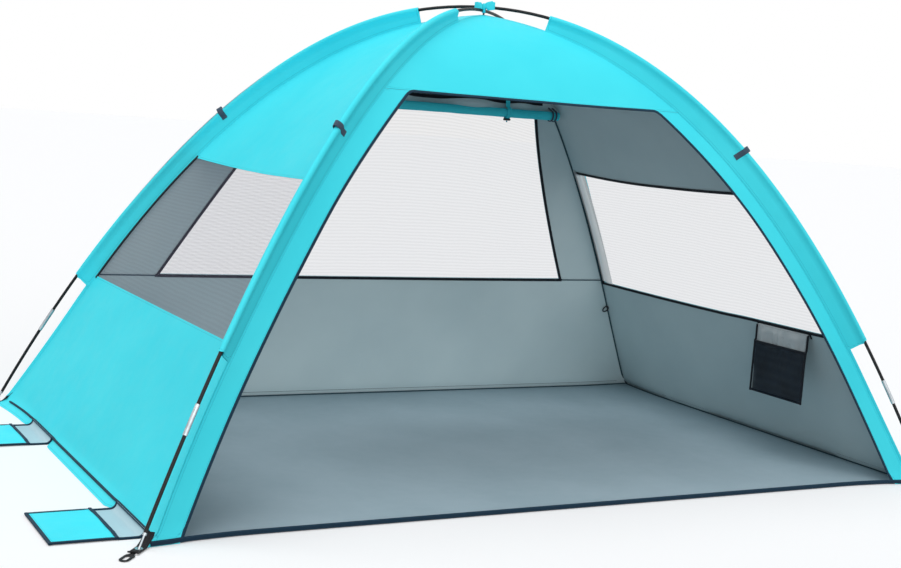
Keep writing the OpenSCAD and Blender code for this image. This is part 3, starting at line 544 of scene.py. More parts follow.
class Finish(Nodes):
    """A procedural material, built up from nodes on one shader."""

    def __init__(self, name, rough, **sockets):
        self.mat = bpy.data.materials.new(name)
        super().__init__(self.mat)
        self.shader = self.tree.nodes["Principled BSDF"]
        self.shader.inputs["Roughness"].default_value = rough
        for key, value in sockets.items():
            self.shader.inputs[key.replace("_", " ")].default_value = value
        self.heights = []

    def place(self, layer):
        """The two coordinates of a texture layer, in metres."""
        made = self.node("ShaderNodeUVMap", uv_map=layer)
        parts = self.node("ShaderNodeSeparateXYZ", {0: made.outputs[0]})
        return parts.outputs[0], parts.outputs[1]

    def noise(self, scale, detail=3.0, stretch=None):
        where = self.node("ShaderNodeTexCoord").outputs["Object"]
        if stretch:
            where = self.node("ShaderNodeMapping", {"Vector": where, "Scale": stretch}).outputs[0]
        made = self.node("ShaderNodeTexNoise", {"Vector": where, "Scale": scale, "Detail": detail})
        return made.outputs[0]

    def between(self, value, low, high, to_low=0.0, to_high=1.0):
        made = self.node("ShaderNodeMapRange", {0: value, 1: low, 2: high, 3: to_low, 4: to_high})
        return made.outputs[0]

    def mix(self, factor, a, b):
        made = self.node("ShaderNodeMix", data_type="RGBA")
        for i, value in ((0, factor), (6, a), (7, b)):
            self.feed(made.inputs[i], tint(*value) if isinstance(value, tuple) else value)
        return made.outputs[2]

    def waves(self, value, period):
        return self.math("SINE", self.math("MULTIPLY", value, 2 * pi / period))

    def stitches(self, off, pitch, wide):
        """Mask of a stitched line at a distance from the hem."""
        u, v = self.place("place")
        hem, _ = self.place("hem")
        away = self.math("ABSOLUTE", self.math("SUBTRACT", hem, off))
        line = self.between(away, wide, wide * 0.6)
        dash = self.between(self.waves(self.math("ADD", u, v), pitch), -0.5, -0.2)
        return self.math("MULTIPLY", line, dash)

    def colour(self, value):
        self.feed(self.shader.inputs["Base Color"], value)

    def shades(self, value, low, high, first, last):
        """Colour from a first to a last shade, as a value goes from low to high."""
        self.colour(self.mix(self.between(value, low, high), first, last))

    def rough(self, value, low, high, to_low, to_high):
        self.feed(self.shader.inputs["Roughness"], self.between(value, low, high, to_low, to_high))

    def height(self, value, metres):
        self.heights.append(self.math("MULTIPLY", value, metres))

    def done(self, strength=1.0):
        if self.heights:
            total = self.heights[0]
            for more in self.heights[1:]:
                total = self.math("ADD", total, more)
            bump = self.node("ShaderNodeBump", {"Height": total, "Strength": strength, "Distance": 1.0})
            self.tree.links.new(bump.outputs[0], self.shader.inputs["Normal"])
        return self.mat


def cloth_finish(name, light, dark, thread, rough, gloss=0.08, **sockets):
    """Coated plain-weave cloth with soft shading, fine crumples and a stitched hem."""
    weave = 0.0011
    f = Finish(name, rough, Specular_IOR_Level=gloss, **sockets)
    u, v = f.place("place")
    cells = f.math("MULTIPLY", f.waves(u, weave), f.waves(v, weave))
    soft = f.noise(3.4, 3.0)
    fine = f.noise(26.0, 4.0)
    base = f.mix(f.between(soft, 0.3, 0.7), dark, light)
    base = f.mix(f.between(cells, -1.0, 1.0, 0.0, 0.10), base, dark)
    seam = f.stitches(0.006, 0.0042, 0.0009)
    f.colour(f.mix(seam, base, thread))
    f.rough(fine, 0.3, 0.7, rough - 0.05, rough + 0.07)
    f.height(cells, 0.00004)
    f.height(fine, 0.0009)
    f.height(f.noise(9.0, 2.0), 0.0030)
    f.height(seam, 0.0003)
    return f.done(0.55)


def tape_finish(name, light, dark, thread):
    """Woven binding tape, ribbed across, stitched near both edges."""
    f = Finish(name, 0.72, Sheen_Weight=0.03, Sheen_Roughness=0.5, Specular_IOR_Level=0.15)
    u, v = f.place("place")
    ribs = f.waves(f.math("ADD", u, f.math("MULTIPLY", v, 0.35)), 0.0014)
    base = f.mix(f.between(ribs, -1.0, 1.0), dark, light)
    base = f.mix(f.between(f.noise(40.0, 3.0), 0.35, 0.75, 0.0, 0.35), base, light)
    seam = f.stitches(0.0022, 0.0036, 0.0006)
    f.colour(f.mix(seam, base, thread))
    f.rough(ribs, -1.0, 1.0, 0.78, 0.66)
    f.height(ribs, 0.00012)
    f.height(seam, 0.0003)
    return f.done(0.8)


def webbing_finish(name, light, dark):
    """Heavy webbing with herringbone ribs."""
    f = Finish(name, 0.68, Sheen_Weight=0.04, Sheen_Roughness=0.5, Specular_IOR_Level=0.2)
    u, v = f.place("place")
    lean = f.math("PINGPONG", v, 0.004)
    ribs = f.waves(f.math("ADD", u, lean), 0.0021)
    base = f.mix(f.between(ribs, -1.0, 1.0), dark, light)
    base = f.mix(f.between(f.noise(60.0, 3.0), 0.35, 0.75, 0.0, 0.4), base, dark)
    f.colour(base)
    f.rough(ribs, -1.0, 1.0, 0.78, 0.6)
    f.height(ribs, 0.00025)
    return f.done(0.9)


def net_finish(name, light, dark, share, cell, band, swing, waviness):
    """Knitted netting: fine threads both ways, denser in faint wavy bands."""
    f = Finish(name, 0.85, Specular_IOR_Level=0.1)
    u, v = f.place("place")
    drift = f.math("MULTIPLY", f.noise(7.0, 2.0, (1.0, 1.0, 2.5)), waviness)
    warp = f.between(f.math("ABSOLUTE", f.waves(u, 2 * cell)), 0.35, 0.0)
    weft = f.between(f.math("ABSOLUTE", f.waves(v, 2 * cell)), 0.35, 0.0)
    threads = f.math("MAXIMUM", warp, weft)
    bands = f.between(f.waves(f.math("ADD", v, drift), band), -1.0, 1.0, share, share + swing)
    f.feed(f.shader.inputs["Alpha"], f.math("ADD", bands, f.math("MULTIPLY", threads, 0.05)))
    f.shades(f.noise(14.0, 2.0), 0.3, 0.7, dark, light)
    f.height(threads, 0.0001)
    return f.done(0.4)


def rod_finish(name, light, dark):
    """Wound fibreglass: dark resin with fine streaks along the rod."""
    f = Finish(name, 0.40, Specular_IOR_Level=0.25)
    _, v = f.place("place")
    streak = f.waves(f.math("ADD", v, f.math("MULTIPLY", f.noise(18.0, 2.0), 0.02)), 0.0031)
    f.shades(streak, -1.0, 1.0, dark, light)
    f.rough(f.noise(90.0, 3.0), 0.3, 0.7, 0.28, 0.46)
    f.height(streak, 0.00004)
    return f.done(0.5)


def steel_finish(name, light, dark):
    """Plated steel with fine scratches and dull patches."""
    f = Finish(name, 0.3, Metallic=1.0)
    marks = f.noise(140.0, 4.0)
    f.shades(f.noise(30.0, 3.0), 0.35, 0.7, light, dark)
    f.rough(marks, 0.3, 0.7, 0.2, 0.42)
    f.height(marks, 0.00005)
    return f.done(0.5)


def plastic_finish(name, light, dark):
    """Moulded plastic with a fine grain."""
    f = Finish(name, 0.42, Specular_IOR_Level=0.5)
    grain = f.noise(420.0, 3.0)
    f.shades(f.noise(55.0, 2.0), 0.3, 0.7, dark, light)
    f.rough(grain, 0.3, 0.7, 0.36, 0.52)
    f.height(grain, 0.00006)
    return f.done(0.6)


def cord_finish(name, light, dark):
    """Braided cord."""
    f = Finish(name, 0.75, Sheen_Weight=0.2, Specular_IOR_Level=0.3)
    u, v = f.place("place")
    strands = [f.waves(f.math(way, u, v), 0.0026) for way in ("ADD", "SUBTRACT")]
    braid = f.math("MULTIPLY", *strands)
    f.shades(braid, -0.7, 0.7, dark, light)
    f.rough(braid, -1.0, 1.0, 0.82, 0.66)
    f.height(braid, 0.0002)
    return f.done(0.8)


canopy = cloth_finish("canopy_cloth", (78, 235, 249), (68, 228, 244), (52, 194, 214), 0.5)
lining = cloth_finish("canopy_lining", (205, 223, 226), (195, 214, 218), (156, 175, 179), 0.5)
floor_top = cloth_finish("floor_cloth", (160, 181, 191), (150, 172, 182), (104, 122, 132), 0.5)
pale = cloth_finish("pale_cloth", (186, 216, 225), (172, 203, 213), (142, 168, 178), 0.6)
grey_cloth = cloth_finish("pocket_cloth", (212, 219, 221), (168, 178, 182), (130, 142, 147), 0.30,
                          gloss=0.5)
navy = tape_finish("navy_tape", (30, 58, 78), (18, 40, 56), (52, 82, 102))
black = tape_finish("black_tape", (24, 30, 38), (14, 18, 24), (44, 50, 60))
seam_tape = tape_finish("seam_tape", (54, 84, 96), (42, 68, 80), (78, 106, 116))
strap = webbing_finish("black_webbing", (24, 26, 30), (12, 13, 16))
slate = webbing_finish("grey_webbing", (86, 104, 122), (58, 74, 92))
net = net_finish("window_net", (122, 121, 140), (108, 108, 128),
                 share=0.155, cell=0.0011, band=0.0125, swing=0.06, waviness=0.012)
net_hem = cloth_finish("net_hem", (250, 251, 253), (244, 246, 249), (214, 220, 225), 0.7,
                       Subsurface_Weight=1.0, Subsurface_Radius=(1, 1, 1), Subsurface_Scale=0.02)
dark_net = net_finish("dark_net", (30, 42, 54), (20, 30, 40),
                      share=0.80, cell=0.0014, band=0.030, swing=0.03, waviness=0.030)
rod = rod_finish("fibreglass", (18, 19, 22), (9, 10, 12))
steel = steel_finish("plated_steel", (198, 205, 208), (150, 158, 164))
plastic = plastic_finish("black_plastic", (28, 29, 32), (16, 17, 20))
elastic = cord_finish("white_elastic", (214, 216, 218), (170, 174, 178))
black_cord = cord_finish("black_elastic", (34, 36, 40), (14, 15, 18))

# Camera at the photographed place, with the image's width and focal length in pixels
IMAGE_W = 901
FOCAL = 1421.7
SENSOR = 36
EYE = (-2.1794, -3.8292, 1.0175)
yaw = radians(29.126)
pitch = radians(-6.670)
roll = radians(4.233)
ahead = vec(sin(yaw) * cos(pitch), cos(yaw) * cos(pitch), sin(pitch))
level = vec(cos(yaw), -sin(yaw), 0)
plumb = level.cross(ahead)
right = level * cos(roll) + plumb * sin(roll)
upward = plumb * cos(roll) - level * sin(roll)
lens = bpy.data.cameras.new("camera")
lens.lens = FOCAL / IMAGE_W * SENSOR
lens.sensor_width = SENSOR
lens.sensor_fit = "HORIZONTAL"
camera = bpy.data.objects.new("camera", lens)
bpy.context.scene.collection.objects.link(camera)
camera.matrix_world = Matrix.Translation(EYE) @ Matrix((right, upward, -ahead)).transposed().to_4x4()
bpy.context.scene.camera = camera

# Canopy panels; the upper side panels hang a little lower on the left than on the right
TIP = 0.006
FINE_Z = 1.25
EDGE_GAP = 0.001
HEAD_Z = {-1: SIDE_HIGH - 0.009, 1: SIDE_HIGH + 0.006}


def side_rows(x_sign, s_from, s_to, n, m, depth=0.0, inset=0.0):
    rows = []
    for s in steps(s_from, s_to, n):
        span = plan_y(HALF_W * s) - inset
        rows.append([side_point(x_sign, s, y, depth) for y in steps(-span, span, m)])
    return rows


def ridge(z):
    return HALF_W * s_at(z)


def end_rows(y_sign, heights, m, x_from=lambda z: -ridge(z), x_to=ridge, depth=0.0):
    return [[end_point(y_sign, s_at(z), x, depth) for x in steps(x_from(z), x_to(z), m)] for z in heights]


def panel(name, rows):
    cloth(f"{name}_cloth", rows, (canopy, lining), name)


peak_z = [*steps(FINE_Z, 1.32, 7)[1:], 1.327, 1.331, rise(TIP)]
strip_z = [*steps(0.0, OPEN_TOP - CORNER, 40), *steps(OPEN_TOP - CORNER, OPEN_TOP, 12)[1:]]
rear_z = steps(REAR_LOW - HALF_TAPE, REAR_HIGH + HALF_TAPE, 30)
panel("front_header", end_rows(-1, [*steps(OPEN_TOP + EDGE_GAP, FINE_Z, 12), *peak_z], 56))
for side, x_sign in SIDES:
    panel(f"front_{side}_strip", end_rows(-1, strip_z, 8, lambda z: x_sign * (opening_edge(z) + EDGE_GAP),
                                          lambda z: x_sign * ridge(z)))
    panel(f"{side}_lower_panel", side_rows(x_sign, 1.0, s_at(SIDE_LOW), 26, 56))
    panel(f"{side}_upper_panel", side_rows(x_sign, s_at(HEAD_Z[x_sign]), TIP, 30, 44))
    panel(f"rear_{side}_strip",
          end_rows(1, rear_z, 10, lambda z: x_sign * rear_half(z), lambda z: x_sign * ridge(z)))
panel("rear_lower_panel", end_rows(1, steps(0.0, REAR_LOW, 20), 64))
panel("rear_upper_panel", end_rows(1, [*steps(REAR_HIGH, FINE_Z, 12), *peak_z], 48))

# Window netting, lapped behind the cloth round it
LAP = 0.009
NET_DEEP = CLOTH + 0.0006
NET_INSET = 0.004
for side, x_sign in SIDES:
    rows = side_rows(x_sign, s_at(SIDE_LOW - LAP), s_at(HEAD_Z[x_sign] + LAP), 22, 40, NET_DEEP, NET_INSET)
    cloth(f"{side}_window_net", rows, (net,), f"{side}_window_mesh", thick=0)
rows = end_rows(1, steps(REAR_LOW - LAP, REAR_HIGH + LAP, 26), 44, lambda z: -rear_half(z) - LAP,
                lambda z: rear_half(z) + LAP, NET_DEEP)
cloth("rear_window_net", rows, (net,), "rear_window_mesh", thick=0)

# Binding tape round the opening and inside the windows
MID = CLOTH / 2
INSIDE = NET_DEEP + 0.0013
FLAT_W = 0.010
FLAT_T = 0.0014
BOUND_T = 0.0030


def end_tape(b, y_sign, line, width=FLAT_W, thick=FLAT_T, depth=INSIDE):
    b.ribbon([end_point(y_sign, s_at(z), x, depth) for x, z in line],
             [end_normal(y_sign, s_at(z)) for x, z in line], width, thick)


def side_tape(b, x_sign, line, width=FLAT_W, thick=FLAT_T, depth=INSIDE, mark=0):
    b.ribbon([side_point(x_sign, s, y, depth) for s, y in line], [side_normal(x_sign, s) for s, y in line],
             width, thick, mark)


corner_z = [OPEN_TOP - CORNER * t * t for t in steps(1, 0, 14)]
half_line = [(opening_x(z), z) for z in steps(0.006, corner_z[0], 40)[:-1]]
half_line += [(opening_edge(z), z) for z in corner_z]
top_line = [(x, corner_z[-1]) for x in steps(half_line[-1][0], -half_line[-1][0], 24)[1:-1]]
b = Build()
end_tape(b, -1, [*half_line, *top_line, *[(-x, z) for x, z in half_line[::-1]]], 0.0085, BOUND_T, MID)
b.make("opening_binding", (navy,), ["opening_tape"])

STUB_Y = 0.1225


def pocket_piping(b):
    """Piping that the hanging pocket swings on, with its flat and the tape's two ends beside it."""
    hung = steps(HANG.y - HANG_HALF, HANG.y + HANG_HALF, 20)
    b.tube([vec(HANG.x, y, HANG.z) for y in hung], 0.002, 8)
    for off in (-STUB_Y, STUB_Y):
        side_tape(b, 1, [(s_at(z), HANG.y + off) for z in steps(HANG.z + 0.014, HANG.z - 0.004, 6)], 0.008)
    b.ribbon([vec(HANG.x + 0.0028, y, HANG.z) for y in hung], UP, 0.005, 0.0008)


NET_HEM_W = 0.063
NET_HEM_OFF = 0.0415
EDGE_W = {-1: 0.009, 1: 0.015}
for side, x_sign in SIDES:
    b = Build()
    top = HEAD_Z[x_sign] + HALF_TAPE
    for s in (s_at(SIDE_LOW - HALF_TAPE), s_at(top)):
        span = plan_y(HALF_W * s) - NET_INSET
        side_tape(b, x_sign, [(s, y) for y in spread(span, 48)])
    for y_sign, wide in EDGE_W.items():
        line = []
        for s in steps(s_at(SIDE_LOW - HALF_TAPE), s_at(top), 24):
            line.append((s, y_sign * (plan_y(HALF_W * s) - 0.002 - wide / 2)))
        side_tape(b, x_sign, line, wide, BOUND_T, MID)
    if x_sign > 0:
        pocket_piping(b)
        line = [(s, plan_y(HALF_W * s) - NET_HEM_OFF) for s in steps(s_at(SIDE_LOW), s_at(top), 24)]
        side_tape(b, x_sign, line, NET_HEM_W, 0.0008, NET_DEEP + 0.0006, 1)
    b.make(f"{side}_window_binding", (black, net_hem), [f"{side}_window_tape"])

b = Build()
for z in (REAR_LOW - HALF_TAPE, REAR_HIGH + HALF_TAPE):
    edge = rear_half(z) + TAPE
    end_tape(b, 1, [(x, z) for x in spread(edge, 40)])
for x_sign in (-1, 1):
    heights = steps(REAR_LOW - HALF_TAPE, REAR_HIGH + HALF_TAPE, 26)
    end_tape(b, 1, [(x_sign * (rear_half(z) + HALF_TAPE), z) for z in heights])
b.make("rear_window_binding", (black,), ["rear_window_tape"])

# Thin seam tape inside: rear corner seams, the rear cross seam, and where the walls meet the floor
SEAM_DEEP = CLOTH + 0.0008
SEAM_T = 0.0012
SEAM_R = 0.0022
SEAM_X = HALF_W - 0.0055
SEAM_Y = HALF_D - 0.0055
SEAM_Z = 0.0042
SEAM_TOP = 1.16
b = Build()
for x_sign in (-1, 1):
    line = steps(0.998, s_at(SEAM_TOP), 40)
    b.ribbon([end_point(1, s, x_sign * (HALF_W * s - 0.005), SEAM_DEEP) for s in line],
             [end_normal(1, s) for s in line], 0.006, SEAM_T)
    z = REAR_LOW - HALF_TAPE
    line = [(x_sign * x, z) for x in steps(rear_half(z) + TAPE, ridge(z) - 0.006, 10)]
    end_tape(b, 1, line, 0.005, SEAM_T, SEAM_DEEP)
    b.tube([flared(vec(x_sign * SEAM_X, y, SEAM_Z), 1, SKIRT.x) for y in steps(-0.735, 0.745, 60)], SEAM_R, 6)
b.tube([flared(vec(x, SEAM_Y, SEAM_Z), 1) for x in spread(1.195, 80)], SEAM_R, 6)
b.make("inner_seam_tape", (seam_tape,))

# Welts of the corner seams below the sleeves
WELT_W = 0.0090
WELT_T = 0.0016
WELT_OFF = 0.0042
b = Build()
for _, _, flip, _ in CORNERS:
    line = []
    normals = []
    for s in steps(0.992, s_at(SLEEVE_LOW - SLEEVE_CUT) - 0.006, 40):
        n = side_normal(flip.x, s)
        m = end_normal(flip.y, s)
        line.append(end_point(flip.y, s, flip.x * HALF_W * s) + (n + m).normalized() * WELT_OFF)
        normals.append(n - m)
    b.ribbon(line, normals, WELT_W, WELT_T)
b.make("corner_welts", (canopy,))

# Floor, with its front edge turned up into a lip
FLOOR_X = 1.197
FLOOR_FRONT = -0.7455
FLOOR_REAR = 0.7465
FLOOR_Z = 0.0015
FLOOR_CALM = 0.08
FLOOR_FINE = -0.70
LIP = 0.009
LIP_FROM = -0.705
LIP_LONG = 0.04
rows = []
for y in [*steps(FLOOR_FRONT, FLOOR_FINE, 8), *steps(FLOOR_FINE, FLOOR_REAR, 42)[1:]]:
    row = []
    skirt = lerp(SKIRT.x, SKIRT_WIDE, clear_of_pockets(y, 0.200)) - 0.001
    lip = LIP * ease((LIP_FROM - y) / LIP_LONG)
    for x in spread(FLOOR_X, 72):
        p = vec(x, y, 0)
        lift = 0.0016 * (1 + noise.noise(p * 3.1)) + 0.0007 * (1 + noise.noise(p * 9.0))
        fade = ease(min(FLOOR_X - abs(x), y - FLOOR_FRONT, FLOOR_REAR - y) / FLOOR_CALM)
        row.append(flared(vec(x, y, FLOOR_Z), 1, skirt) + UP * (lift * fade + lip))
    rows.append(row)
cloth("floor_cloth", rows, (floor_top,), "floor_sheet", CLOTH, lambda p: UP)

SILL_Y = -0.7478
SILL_OUT = 0.0044
SILL_Z = 0.0068


def sill_y(x):
    """The sill's tape lies against the floor's edge in the opening, and outside the strips beside it."""
    return SILL_Y - SILL_OUT * ease((abs(x) - opening_x(0) + 0.012) / 0.02)


b = Build()
sill = [flared(vec(x, sill_y(x), SILL_Z), 1) for x in spread(FLOOR_X, 110)]
b.ribbon(sill, vec(0, -1, 0.12), 0.0125, 0.0034)
b.make("sill_binding", (navy,), ["sill_tape"])

# Hem piping: a cord with a flat behind it, sewn into the side and rear walls
HEM_S = s_at(HEM_Z)
HEM_LONG_X = 1.155
HEM_LONG_Y = 0.705


def piping(b, line_at):
    b.tube(line_at(0), 0.003, 10)
    b.ribbon(line_at(0.0035), UP, 0.006, 0.001)


b = Build()
for x_sign in (-1, 1):
    piping(b, lambda off: [flared(vec(x_sign * (HEM_X - off), y, HEM_Z), HEM_S)
                           for y in spread(HEM_LONG_Y, 60)])
piping(b, lambda off: [flared(vec(x, HEM_Y - off, HEM_Z), HEM_S)
                       for x in spread(HEM_LONG_X, 70)])
b.make("hem_cord", (navy,), ["hem_piping"])

# Poles and ferrules
ROD_GAP = 0.0004
FERRULE_HALF = 0.04
FERRULE_RIM = 0.0005


def leaned(p, u, top):
    """The upper pole stands a little to the right between its crossing and its feet."""
    if top == UPPER_TOP:
        p = p + vec(LEAN * sin(pi * clamp((abs(u) - 0.08) / 0.92, 0, 1)) ** 2, 0, 0)
    return p


def pole_line(top, flip, start, end, n):
    return [leaned(pole_point(u, top) * flip, u, top) for u in map(u_at, steps(start, end, n))]


rod_ends = [-POLE_END, *[-j for j in ROD_JOINTS[::-1]], *ROD_JOINTS, POLE_END]
collars = Build()
for name, top, flip in (("lower", LOWER_TOP, vec(1, 1, 1)), ("upper", UPPER_TOP, vec(-1, 1, 1))):
    b = Build()
    for start, end in zip(rod_ends, rod_ends[1:]):
        b.tube(pole_line(top, flip, start + ROD_GAP, end - ROD_GAP, 14), POLE_R, 14)
    b.make(f"{name}_rods", (rod,), [f"{name}_pole_rods"])
    for j in (*ROD_JOINTS, *[-j for j in ROD_JOINTS]):
        long = FERRULE_HALF - FERRULE_RIM
        line = pole_line(top, flip, j - long, j + long, 8)
        rims = pole_line(top, flip, j - FERRULE_HALF, j + FERRULE_HALF, 1)
        rim_r = POLE_R + 0.0003
        collars.tube([rims[0], *line, rims[1]], [rim_r, *[FERRULE_R] * 9, rim_r], 16)
collars.make("ferrules", (steel,), ["pole_ferrules"])

# Sleeves: cloth folded over the pole and sewn along the seam
TUNNEL = 0.0085
SLEEVE_T = 0.0007
FOLD_GAP = 0.0013
SWELL = 0.0006


def sleeve_frame(s, top, flip):
    """Seam point, direction to the pole, sideways direction and distance to the pole, in the +X +Y corner."""
    base = vec(HALF_W * s, plan_y(HALF_W * s), rise(s))
    u = s + 0.04 * s * (1 - s)
    to_pole = leaned(pole_point(u, top) * flip, u, top) * flip - base
    across = vec(plan_slope(HALF_W * s), -1, 0).normalized()
    return base, to_pole.normalized(), across, to_pole.length


def fin(high):
    """Half of the folded sleeve's section: two layers sewn at the seam, swelling round the pole."""
    flat = [(h * (high - 1.9 * TUNNEL), FOLD_GAP + SWELL * sin(pi * h)) for h in steps(0.0, 1.0, 5)]
    return flat + [(high + TUNNEL * c, TUNNEL * d) for c, d in arc(128, 0, 10)]


def sway_at(where, share):
    """How far the sleeve's cloth leans sideways at a share of the way from its seam to the pole."""
    most = 0.0016 * noise.noise(where * 9.0) + 0.0008 * noise.noise(where * 24.0)
    return most * sin(pi * clamp(share, 0, 1))


FIN_LAST = 2 * len(fin(1)) - 2
for end, side, flip, top in CORNERS:
    rows = []
    for t in steps(0, 1, 110):
        row = []
        for i in range(FIN_LAST + 1):
            from_seam = min(i, FIN_LAST - i)
            low = s_at(SLEEVE_LOW - SLEEVE_CUT * (1 - clamp(from_seam / 9, 0, 1)))
            base, up, across, high = sleeve_frame(lerp(s_at(SLEEVE_HIGH), low, t), top, flip)
            h, w = fin(high)[from_seam]
            if i > from_seam:
                w = -w
            sway = sway_at(base * flip, h / high)
            row.append((base + up * (h - 0.001) + across * (w + sway)) * flip)
        rows.append(row)
    spine = [row[FIN_LAST // 2] for row in rows]
    name = f"{end}_{side}_sleeve"
    cloth(f"{name}_cloth", rows, (canopy,), name, thick=-SLEEVE_T,
          outward=lambda p: p - min(spine[::8], key=lambda q: (q - p).length_squared))

# Guy loops: webbing folded over the outer edge of each sleeve, standing clear of it
GUY_OFF = 0.0016
GUY_LOOP = 0.0085
b = Build()
for _, _, flip, top in CORNERS:
    base, up, across, high = sleeve_frame(s_at(GUY_Z), top, flip)
    half = [(h, w + GUY_OFF) for h, w in fin(high) if 0.40 * high < h < high]
    half += [(high + (TUNNEL + GUY_LOOP) * c, (TUNNEL + GUY_OFF) * d) for c, d in arc(90, 0, 10)]
    path = []
    for h, w in [*half, *[(h, -w) for h, w in half[-2::-1]]]:
        sway = sway_at(base * flip, h / high)
        path.append((base + up * h + across * (w + sway)) * flip)
    lateral = up.cross(across) * flip
    b.ribbon(path, [lateral.cross(run).normalized() for run in runs(path)], 0.018, 0.0016)
b.make("guy_webbing", (slate,), ["guy_loops"])

# Corner straps and stake loops, in a frame at each foot that points out of the corner
STRAP_LOW = 0.0022
STRAP_Z = 0.0032
STRAP_RISE = 0.022
STRAP_END = 0.031
STRAP_HALF = 0.013
STRAP_BACK = -0.015
EYELET_R = 0.0064
WEBBING = 0.002
CROWN = 0.0003
PIN_Z = 0.0048
PIN_WRAP = 0.0031


def strap_point(x, y, z, flip):
    return (FOOT + OUT * x + vec(-OUT.y, OUT.x, 0) * y + UP * z) * flip


def strap_strip(b, bend, width, thick, flip):
    """Webbing along a line in the strap's upright plane."""
    path = [strap_point(x, 0, z, flip) for x, y, z in bend]
    normals = [((UP * run.x - OUT * run.z) * flip).normalized() for run in runs(bend)]
    b.ribbon(path, normals, width, thick)


def plate(b, outline, hole, low, flip):
    """Flat webbing with a hole and a soft upper edge, between two outlines of equal count."""
    n = len(outline)
    start = len(b.points)
    high = low + WEBBING
    crown = [(lerp(x, hx, 0.12), lerp(y, hy, 0.12)) for (x, y), (hx, hy) in zip(outline, hole)]
    rings = ((outline, low), (outline, high - CROWN), (crown, high), (hole, high), (hole, low))
    for line, z in rings:
        b.points += [strap_point(x, y, z, flip) for x, y in line]
    for k in range(len(rings)):
        after = (k + 1) % len(rings)
        for i in range(n):
            j = (i + 1) % n
            ids = [start + c for c in (k * n + i, k * n + j, after * n + j, after * n + i)]
            b.quad([(c, tuple(b.points[c].xy), 1.0) for c in ids], 0, flip.x * flip.y < 0)


def stadium(x_from, x_to, half, n):
    """Outline with round ends about the X axis, anticlockwise, of 4 n points."""
    out = []
    for middle, turn in ((x_to - half, -90), (x_from + half, 90)):
        out += [(middle + half * c, half * d) for c, d in arc(turn, turn + 180, 2 * n - 1)]
    return out


def circle_and_box(x_from, x_to, half, r, n):
    """A circle about the origin and the box round it, point for point."""
    ring = []
    box = []
    for c, d in arc(180 / n, 360 + 180 / n, n)[:-1]:
        ring.append((r * c, r * d))
        reach_x = (x_to if c > 0 else -x_from) / max(abs(c), 1e-6)
        reach = min(reach_x, half / max(abs(d), 1e-6))
        box.append((reach * c, reach * d))
    return box, ring


b = Build()
for _, _, flip, _ in CORNERS:
    box, ring = circle_and_box(STRAP_BACK, 0.021, STRAP_HALF, EYELET_R, 40)
    plate(b, box, ring, STRAP_LOW, flip)
    s = s_at(STRAP_RISE)
    sewn = flared(vec(HALF_W * s, flip.y * plan_y(HALF_W * s), STRAP_RISE), s)
    back = (vec(sewn.x, abs(sewn.y), 0) - FOOT).dot(OUT)
    spots = ((back - 0.002, STRAP_RISE + 0.006), (back + 0.004, STRAP_RISE - 0.001),
             ((back + STRAP_BACK) / 2, STRAP_RISE / 2), (-0.022, 0.0058), (-0.0145, STRAP_Z))
    bend = smooth_line([vec(x, 0, z) for x, z in spots], 6)
    strap_strip(b, bend, 2 * STRAP_HALF, WEBBING, flip)
    for y in (-0.010, 0.010):
        spots = ((0.020, 0), (0.024, 0), (0.028, 0.0003), (STRAP_END, 0.0006))
        b.ribbon([strap_point(x, y, STRAP_Z + z, flip) for x, z in spots], UP, 0.006, 0.0019)
    b.tube([strap_point(STRAP_END, y, PIN_Z, flip) for y in spread(STRAP_HALF, 6)], 0.002, 10)
b.make("corner_strap_webbing", (strap,), ["corner_straps"])

for end, side, flip, _ in CORNERS:
    b = Build()
    low = PIN_Z - 0.00385
    outer = stadium(STRAP_END + 0.006, STRAP_END + 0.058, 0.012, 8)
    slot = stadium(STRAP_END + 0.020, STRAP_END + 0.052, 0.006, 8)
    plate(b, outer, slot, low, flip)
    bend = [vec(STRAP_END + 0.012, 0, low + WEBBING / 2)]
    bend += [vec(STRAP_END + PIN_WRAP * c, 0, PIN_Z + PIN_WRAP * d) for c, d in arc(-90, -330, 12)]
    strap_strip(b, bend, 0.012, 0.0013, flip)
    b.make(f"{end}_{side}_stake_webbing", (strap,), [f"{end}_{side}_stake_loop"],
           f"{end}_{side}_stake_tab")

# Hub tie: a strip of cloth round the crossing, sewn to the peak and tied in a bow in front of the upper pole
ALONG = vec(0.841, -0.541, 0)
TOWARD = vec(-0.541, -0.841, 0)
HUB_Z = (LOWER_TOP + UPPER_TOP) / 2
BOW_Z = 1.3590
BOW_LOOP = ((0, 0.0212), (0.40, 0.0240), (0.82, 0.0200), (1.0, 0.0140), (0.86, 0.0088), (0.48, 0.0098),
            (0.28, 0.0150), (0, 0.0206))
BOW_TAILS = (((0, 0.0215, 0), (0.008, 0.0235, 0.0065), (0.018, 0.0225, 0.0100), (0.027, 0.0190, 0.0128)),
             ((0, 0.0215, 0), (-0.007, 0.0245, -0.0050), (-0.015, 0.0240, -0.0115)))
KNOT = ((-0.0085, 0.001), (-0.0080, 0.0034), (-0.004, 0.0050), (0, 0.0054), (0.004, 0.0050), (0.0080, 0.0034),
        (0.0085, 0.001))


def hub_point(along, toward, z):
    return ALONG * along + TOWARD * toward + UP * z


def boxy(v):
    return copysign(abs(v) ** 0.8, v)


